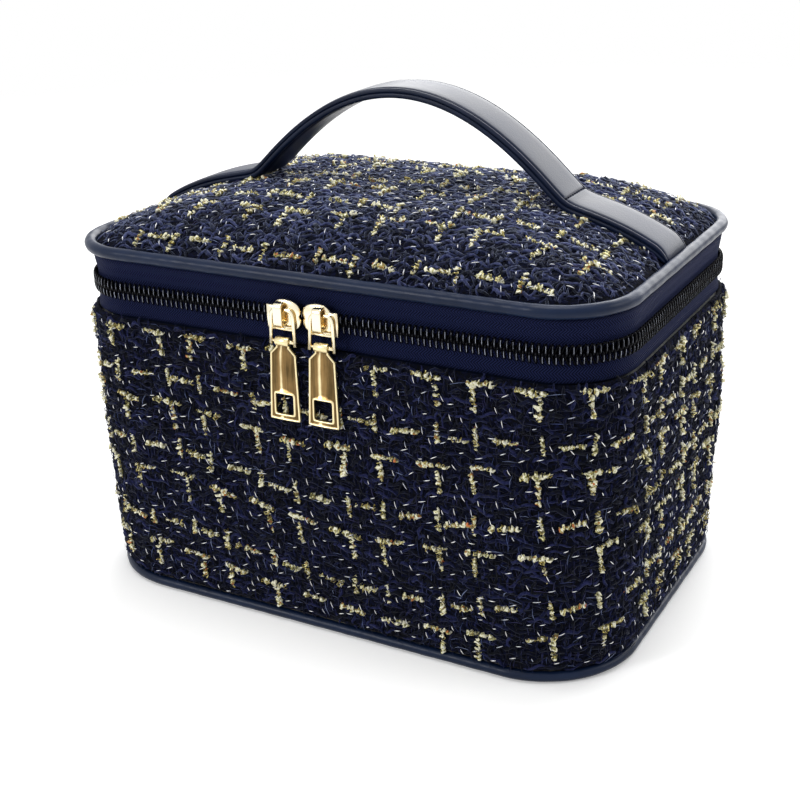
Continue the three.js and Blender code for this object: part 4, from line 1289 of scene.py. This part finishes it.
groove_mm = groove / mm
top_half = [
    (0.5, 3.88), (5, 3.86), (7.4, 3.78), (8.2, 3.66), (8.55, 3.4), (groove_mm - 0.1, 2.95),
    (groove_mm + 0.1, 2.95), (8.95, 3.35), (9.15, 3.5), (9.5, 3.46), (9.74, 3.25), (9.82, 2.95),
    (9.82, 2.5), (9.72, 2.12), (9.4, 1.98), (8.2, 1.98), (8.0, 2.65), (4, 2.65)]
under_half = [
    (0.5, -0.02), (5, 0), (groove_mm - 0.3, 0.05), (groove_mm, 0.3), (groove_mm + 0.3, 0.08),
    (9.45, 0.15), (9.9, 0.45), (10.05, 0.9), (10.05, 1.4), (9.95, 1.75), (9.6, 1.9), (8.2, 1.9),
    (8.0, 1.15), (4, 1.15)]
core_half = [(2, 1.5), (7.2, 1.5), (7.5, 1.7), (7.5, 2.1), (7.2, 2.3), (2, 2.3)]
handle_top = strap_band("handle_top_strap", mirrored(top_half), navy_leather)
mount(handle_top, "lid", "leather", "handle_top_leather")
handle_under = strap_band("handle_under_strap", mirrored(under_half), navy_leather)
mount(handle_under, "lid", "leather", "handle_under_leather")
handle_core = strap_band("handle_core_strip", mirrored(core_half), foam_material)
mount(handle_core, "lid", "foam", "handle_core")

# The stitches of the two cross seams, in near-black thread that is sunk into the leather.
cross_thread = mottled(
    "ink_sewing_thread", 1500.0, detail=2.0, finish={"Roughness": 0.6, "Specular IOR Level": 0.2},
    stops=[(0.3, "#04060f"), (0.7, "#111a33")])
stitches_across = np.arange(-7.6, 7.7, 1.9) * mm
seam_stitches = [(seam, across) for seam in seam_places for across in stitches_across]


def seam_points(lift):
    """Every stitch's place in the two seams, at a height over the strap's underside."""
    return np.array([strap_point(np.array([x, x]), across, lift)[0] for x, across in seam_stitches])


seam_place = seam_points(3.9 * mm)
seam_facing = seam_points(4.9 * mm) - seam_place
seam_facing /= np.linalg.norm(seam_facing, axis=1, keepdims=True)
cross_stitches = laid("handle_cross_stitches", stitch_shape("handle_thread", 1.3 * mm, 0.32 * mm),
                      seam_place, seam_facing, (0, 1, 0), cross_thread)
mount(cross_stitches, "lid", "leather")


# Sliders, bails and tabs
# Die-cast zinc, plated light gold. The slider holds both rows between its two plates, the wire bail
# hangs through its crown, and the tab turns on the bail's pins.
def plated_zinc(name, painted_shade, face, painted_highlight, roughness, streaks):
    """Gold-plated zinc: it gives the eye a warm mirror, finely brushed. A value on each point paints its
    colour from a painted shade colour to a painted highlight colour, so edges and crests are paler as painted
    highlights and sides darker as painted shade. The brushing is drawn a few times as coarse as it is, so
    that it shows."""
    material, tree, place = new_material(name)
    cloud = add_node(tree, "ShaderNodeTexNoise", inputs={"Vector": place, "Scale": 160.0, "Detail": 3.0})
    painted_light = add_node(tree, "ShaderNodeAttribute", {"attribute_name": "painted_light"}).outputs["Fac"]
    hairlines = add_node(tree, "ShaderNodeMapping", inputs={"Vector": place, "Scale": (2.0, 2.0, 0.12)})
    scratch = add_node(tree, "ShaderNodeTexNoise", inputs={
        "Vector": hairlines, "Scale": 700.0, "Detail": 4.0})
    tone_and_painted_light = add_node(tree, "ShaderNodeMath", {"operation": "MULTIPLY_ADD"}, {
        0: cloud.outputs["Fac"], 1: 0.3, 2: painted_light})
    blend = add_node(tree, "ShaderNodeMath", {"operation": "MULTIPLY_ADD"}, {
        0: scratch.outputs["Fac"], 1: streaks, 2: tone_and_painted_light})
    shade = add_node(tree, "ShaderNodeValToRGB", inputs={"Fac": blend}, stops=[
        (0.1 + streaks / 2, painted_shade), (0.4 + streaks / 2, face), (0.8 + streaks / 3, painted_highlight)])
    bump = add_node(tree, "ShaderNodeBump", inputs={
        "Strength": 0.2, "Distance": 0.00006, "Height": scratch.outputs["Fac"]})
    dullness = add_node(tree, "ShaderNodeMapRange", inputs={
        "Value": scratch.outputs["Fac"], "To Min": roughness - 0.05, "To Max": roughness + 0.08})
    finish_material(tree, {
        "Base Color": shade, "Metallic": 1.0, "Roughness": dullness,
        "Normal": bump})
    return material


# One plating drawn as two copies. The tab's gold is darker than the slider's, partly from its coarser
# brushing and partly as painted reflection of a dark surrounding that its faces would mirror.
polished_gold = plated_zinc("polished_gold_plated_zinc", "#a8772c", "#e0c484", "#f6ecd0", 0.2, 0.1)
brushed_gold_painted_dark = plated_zinc("brushed_gold_zinc_painted_dark", "#4f4027", "#8d7148", "#ecdcae", 0.3, 0.45)

slider_length = 13.4 * mm
plate_low, plate_top, plate_wide = -4.6 * mm, 6.6 * mm, 4.2 * mm
notch_half = 1.1 * mm
zip_outer = 66.3 * mm


def shell(rings, closed_skin=False):
    """The points and outward faces of a skin through closed rings."""
    rings = np.asarray(rings)
    points, faces = rings.reshape(-1, 3), skin_faces(*rings.shape[:2], closed_skin)[0]
    return points, faces if signed_volume(points, faces) > 0 else [face[::-1] for face in faces]


def add_metal(name, shells, painted_light, material, place, painted_side_shade=0.0):
    """One object from several shells, with a value of painted light on each point. place turns the part's own
    frame into the case's. The last argument is the share of that painted light taken away on sides that face
    neither forwards nor up: painted shade."""
    points, faces, shades, count = [], [], [], 0
    for (shell_points, shell_faces), shell_painted_light in zip(shells, painted_light):
        faces += [[count + corner for corner in face] for face in shell_faces]
        points.append(place(shell_points))
        shades.append(np.broadcast_to(shell_painted_light, len(shell_points)))
        count += len(shell_points)
    made = add_mesh(name, np.concatenate(points), faces, material)
    mesh = made.data
    normals = np.zeros(3 * count, np.float32)
    mesh.vertex_normals.foreach_get("vector", normals)
    normals = normals.reshape(-1, 3)
    outward = np.clip(np.maximum(-normals[:, 1], normals[:, 2]), 0, 1)
    unshaded_share = 1 - painted_side_shade + painted_side_shade * outward
    mesh.attributes.new("painted_light", "FLOAT", "POINT").data.foreach_set(
        "value", (np.concatenate(shades) * unshaded_share).astype(np.float32))
    return made


def quadratic(start, control, end, steps=10):
    """Points along a quadratic curve after its start."""
    share = np.linspace(0, 1, steps + 1)[1:, None]
    start, control, end = np.array(start), np.array(control), np.array(end)
    return list((1 - share) ** 2 * start + 2 * share * (1 - share) * control + share ** 2 * end)


def plate_outline(facing, low, top, notch_middle):
    """A slider plate seen from the front: narrow where the closed chain leaves it and broad where the
    two rows enter it on either side of the notch."""
    narrow, start, waist, bend, shoulder, notch_end, tip = (
        facing * slider_length * share for share in (-0.5, -0.4, -0.3, -0.2, 0.02, 0.45, 0.5))
    halves = []
    for edge, reach, notch_edge in ((plate_wide, top, notch_middle + notch_half),
                                    (-plate_wide, low, notch_middle - notch_half)):
        half = [np.array((along, edge)) for along in (narrow, start, waist)]
        half += quadratic((waist, edge), (bend, reach), (shoulder, reach))
        half += quadratic((shoulder, reach), (tip, reach), (tip, notch_edge))
        halves.append(half)
    return np.array(halves[0] + [np.array((notch_end, notch_middle))] + halves[1][::-1])


def plate_shell(outline, profile):
    """A plate with rounded edges and a crown, from a profile of (share of the outline, height in mm)."""
    centre = np.array([outline[:, 0].mean(), (outline[:, 1].min() + outline[:, 1].max()) / 2])
    rings = []
    for share, height in profile:
        flat = centre + (outline - centre) * share
        rings.append(np.column_stack([flat, np.full(len(flat), height * mm)]))
    return shell(rings)


def swept(path, half_width, half_thickness, corner=0.35):
    """A bar along a path in the part's own frame. Along a path in the part's face its thickness is
    measured outwards, and otherwise across x. A corner of 0 makes it round, and of nearly 1 square."""
    path = np.asarray(path, float)
    heading = np.gradient(path, axis=0)
    heading /= np.linalg.norm(heading, axis=1, keepdims=True)
    in_face = np.ptp(path[:, 2]) < 1e-9
    other = np.broadcast_to((0, 0, 1.0) if in_face else (1.0, 0, 0), path.shape)
    side = np.cross(heading, other)
    angles = 2 * math.pi * np.arange(16) / 16
    power = 1 - corner
    across = np.sign(np.cos(angles)) * np.abs(np.cos(angles)) ** power
    out = np.sign(np.sin(angles)) * np.abs(np.sin(angles)) ** power
    return shell(path[:, None] + half_width * across[None, :, None] * side[:, None]
                 + half_thickness * out[None, :, None] * other[:, None])


def rounded_path(corners, radii, steps=7):
    """A polyline through corners, with each inner corner rounded."""
    path = [np.array(corners[0], float)]
    for i in range(1, len(corners) - 1):
        before, corner, after = (np.array(corners[j], float) for j in (i - 1, i, i + 1))
        into = (before - corner) / np.linalg.norm(before - corner)
        out = (after - corner) / np.linalg.norm(after - corner)
        path.append(corner + into * radii)
        path += quadratic(corner + into * radii, corner, corner + out * radii, steps)
    path.append(np.array(corners[-1], float))
    return np.array(path)


def slider_shells(facing):
    """The outer and the inner plate, the post between the rows, the lip under the case's row and the
    crown that the bail hangs through."""
    outer = plate_outline(facing, plate_low, plate_top, 1.0 * mm)
    inner = plate_outline(facing, plate_low, -plate_low, 0)
    plates = [
        plate_shell(outer, [(0.05, 0.3), (0.93, 0.3), (0.98, 0.45), (1.0, 0.8), (0.99, 1.2), (0.95, 1.55),
                            (0.86, 1.8), (0.6, 2.05), (0.3, 2.15), (0.05, 2.15)]),
        plate_shell(inner, [(0.05, -3.1), (0.94, -3.1), (0.99, -3.3), (1.0, -3.7), (0.98, -4.1),
                            (0.93, -4.3), (0.05, -4.3)])]
    post_x = facing * 0.38 * slider_length
    post = swept([(post_x - facing * 3.2 * mm, 0, -1.5 * mm), (post_x, 0, -1.5 * mm)], 0.25 * mm, 1.9 * mm)
    lip = swept([(facing * share * slider_length, -4.25 * mm, 0.05 * mm) for share in (-0.05, 0.25)],
                0.35 * mm, 0.95 * mm)
    middle = -facing * 0.5 * mm
    arch = rounded_path([(middle, -2.15 * mm, 0.8 * mm), (middle, -2.15 * mm, 4.25 * mm),
                         (middle, 5.35 * mm, 4.25 * mm), (middle, 5.35 * mm, 0.8 * mm)], 1.5 * mm)
    crown = swept(arch, 0.45 * mm, 1.7 * mm, corner=0.6)
    return plates + [post, lip, crown]


# The bail hangs from its pivot and leans out a little over the wall, and its pins carry the tab.
bail_tilt = math.radians(2.5254)
pivot_y, pivot_z = -69.05 * mm, 117.9 * mm
pin_drop = 11 * mm
pin_y = pivot_y - pin_drop * math.sin(bail_tilt)
pin_z = pivot_z - pin_drop * math.cos(bail_tilt)


def hung(x, y, z):
    """The frame of a part that hangs from (x, y, z): its y runs up, and its z outwards."""
    lean, upright = math.sin(bail_tilt), math.cos(bail_tilt)
    return lambda points: np.stack([
        points[:, 0] + x, y + points[:, 1] * lean - points[:, 2] * upright,
        z + points[:, 1] * upright + points[:, 2] * lean], -1)


def bail_shells():
    """The wire loop, its crossbar and the two pins that the tab turns on."""
    top, foot = 4.05 * mm, 4.75 * mm
    loop = rounded_path([(-foot, -12.2 * mm, 0), (-top, -0.1 * mm, 0), (top, -0.1 * mm, 0),
                         (foot, -12.2 * mm, 0)], 2.4 * mm)
    ring = swept(loop, 0.7 * mm, 0.6 * mm, corner=0.05)
    bar = swept([(-4.3 * mm, -6.6 * mm, 0), (4.3 * mm, -6.6 * mm, 0)], 0.5 * mm, 0.45 * mm, corner=0.05)
    pins = [swept([(side * 4.7 * mm, -pin_drop, 0), (side * 0.4 * mm, -pin_drop, 0)],
                  0.55 * mm, 0.55 * mm, corner=0) for side in (-1, 1)]
    return [ring, bar] + pins


def edge_points(corners, counts):
    """Points along a closed polygon, with as many on each edge as asked."""
    points = []
    for i, count in enumerate(counts):
        start, end = corners[i], corners[(i + 1) % len(corners)]
        points += [start + (end - start) * j / count for j in range(count)]
    return np.array(points)


def inset_polygon(corners, distance):
    """A polygon with every edge moved inwards by the same distance."""
    moved = []
    for i in range(len(corners)):
        before, corner, after = corners[i - 1], corners[i], corners[(i + 1) % len(corners)]
        into = (corner - before) / np.linalg.norm(corner - before)
        out = (after - corner) / np.linalg.norm(after - corner)
        normal_in, normal_out = np.array([-into[1], into[0]]), np.array([-out[1], out[0]])
        bisector = (normal_in + normal_out) / (1 + np.dot(normal_in, normal_out))
        moved.append(corner + bisector * distance)
    return np.array(moved)


def tab_shells():
    """The plate with its raised edge, its window with a raised frame, and the barrel round the pins."""
    head, neck, shoulder, foot = (2.6, 0.6), (2.6, 1.9), (5.0, 4.3), (5.9, 27.6)
    half = np.array([head, neck, shoulder, foot]) * [1, -1]
    corners = np.concatenate([half * [-1, 1], half[::-1]]) * mm
    counts = (3, 6, 40, 20, 40, 6, 3, 8)
    window_middle, window_half = np.array([0, -21.9 * mm]), 3.5 * mm
    rim_width, crown, floor_height = 0.75, 0.35 * mm, 0.52

    def outer(inset):
        """The plate's outline, moved in by a number of millimetres."""
        return edge_points(inset_polygon(corners, inset * mm), counts)

    away = outer(0) - window_middle

    def window(outset):
        """The window's outline, moved out by a number of millimetres."""
        round_square = (np.abs(away[:, 0]) ** 12 + np.abs(away[:, 1]) ** 12) ** (1 / 12)
        return window_middle + away * ((window_half + outset * mm) / round_square)[:, None]

    def across(flat):
        """How far across the tab each place lies, from -1 to 1."""
        drops, halves = np.array([neck, shoulder, foot])[:, ::-1].T * mm
        return flat[:, 0] / np.interp(-flat[:, 1], drops, halves)

    def crowned(flat, height):
        """A ring on the tab's face, which falls off to both sides."""
        return np.column_stack([flat, height * mm - crown * across(flat) ** 2])

    def painted_highlight(flat):
        """Painted highlights on the face: a narrow bright streak and a broad one, both left of the middle."""
        share = across(flat)
        return 0.02 + 0.4 * np.exp(-((share + 0.2) / 0.09) ** 2) + 0.2 * np.exp(-((share + 0.1) / 0.4) ** 2)

    rim, frame_edge = outer(rim_width), window(rim_width)
    # The third value of each station paints highlights on the raised edge and the frame, and shade inside the
    # window and on the back.
    stations = [(outer(0), 0.2, 1), (outer(0.02), 0.75, 1), (outer(0.25), 1.0, 1), (outer(0.5), 0.92, 0.8),
                (rim, 0.55, None)]
    stations += [(rim + (frame_edge - rim) * share, floor_height, None) for share in (0.15, 0.4, 0.65, 0.85)]
    stations += [(frame_edge, floor_height, None), (window(0.5), 0.9, 0.8), (window(0.25), 1.0, 1),
                 (window(0.03), 0.8, 1), (window(0), 0.2, 0.2)]
    rings = [crowned(flat, height) for flat, height, shine in stations]
    painted_light = [painted_highlight(flat) if shine is None else np.full(len(flat), shine)
              for flat, height, shine in stations]
    for flat, height in ((window(0), -0.45), (window(0.2), -0.6), (outer(0.25), -0.6), (outer(0), -0.4)):
        rings.append(np.column_stack([flat, np.full(len(flat), height * mm)]))
        painted_light.append(np.full(len(flat), 0.2))
    turns = 2 * math.pi * np.arange(28) / 28
    barrel_section = [(-2.6, 0.85), (-2.6, 1.4), (-2.4, 1.58), (2.4, 1.58), (2.6, 1.4), (2.6, 0.85)]
    barrel = shell([np.column_stack([np.full(len(turns), x), r * np.sin(turns), r * np.cos(turns)]) * mm
                    for x, r in barrel_section], True)
    return [shell(rings, True), barrel], [np.concatenate(painted_light), 0.9]


def on_zip(x):
    """The frame of a slider that sits at x on the chain: its y runs up, and its z outwards."""
    return lambda points: np.stack([
        points[:, 0] + x, -zip_outer - points[:, 2], zip_height + points[:, 1]], -1)


# Each part's values paint highlights on it, and the share after them paints shade on its sides.
for label, facing, slider_x, pivot_x in (
        ("left", 1, -9.3 * mm, -8.9 * mm), ("right", -1, 4.8 * mm, 6.2 * mm)):
    shells = slider_shells(facing)
    slider = add_metal(f"{label}_slider_casting", shells, [0.75] * len(shells), polished_gold,
                       on_zip(slider_x), painted_side_shade=0.9)
    mount(slider, f"slider_{label}", "gold_metal", f"slider_{label}_body")
    shells = bail_shells()
    bail = add_metal(f"{label}_bail_wire", shells, [0.7] * len(shells), polished_gold,
                     hung(pivot_x, pivot_y, pivot_z), painted_side_shade=0.8)
    mount(bail, f"bail_{label}", "gold_metal", f"slider_{label}_bail")
    shells, painted_light = tab_shells()
    tab = add_metal(f"{label}_tab_casting", shells, painted_light, brushed_gold_painted_dark, hung(pivot_x, pin_y, pin_z))
    mount(tab, f"tab_{label}", "gold_metal", f"slider_{label}_tab")
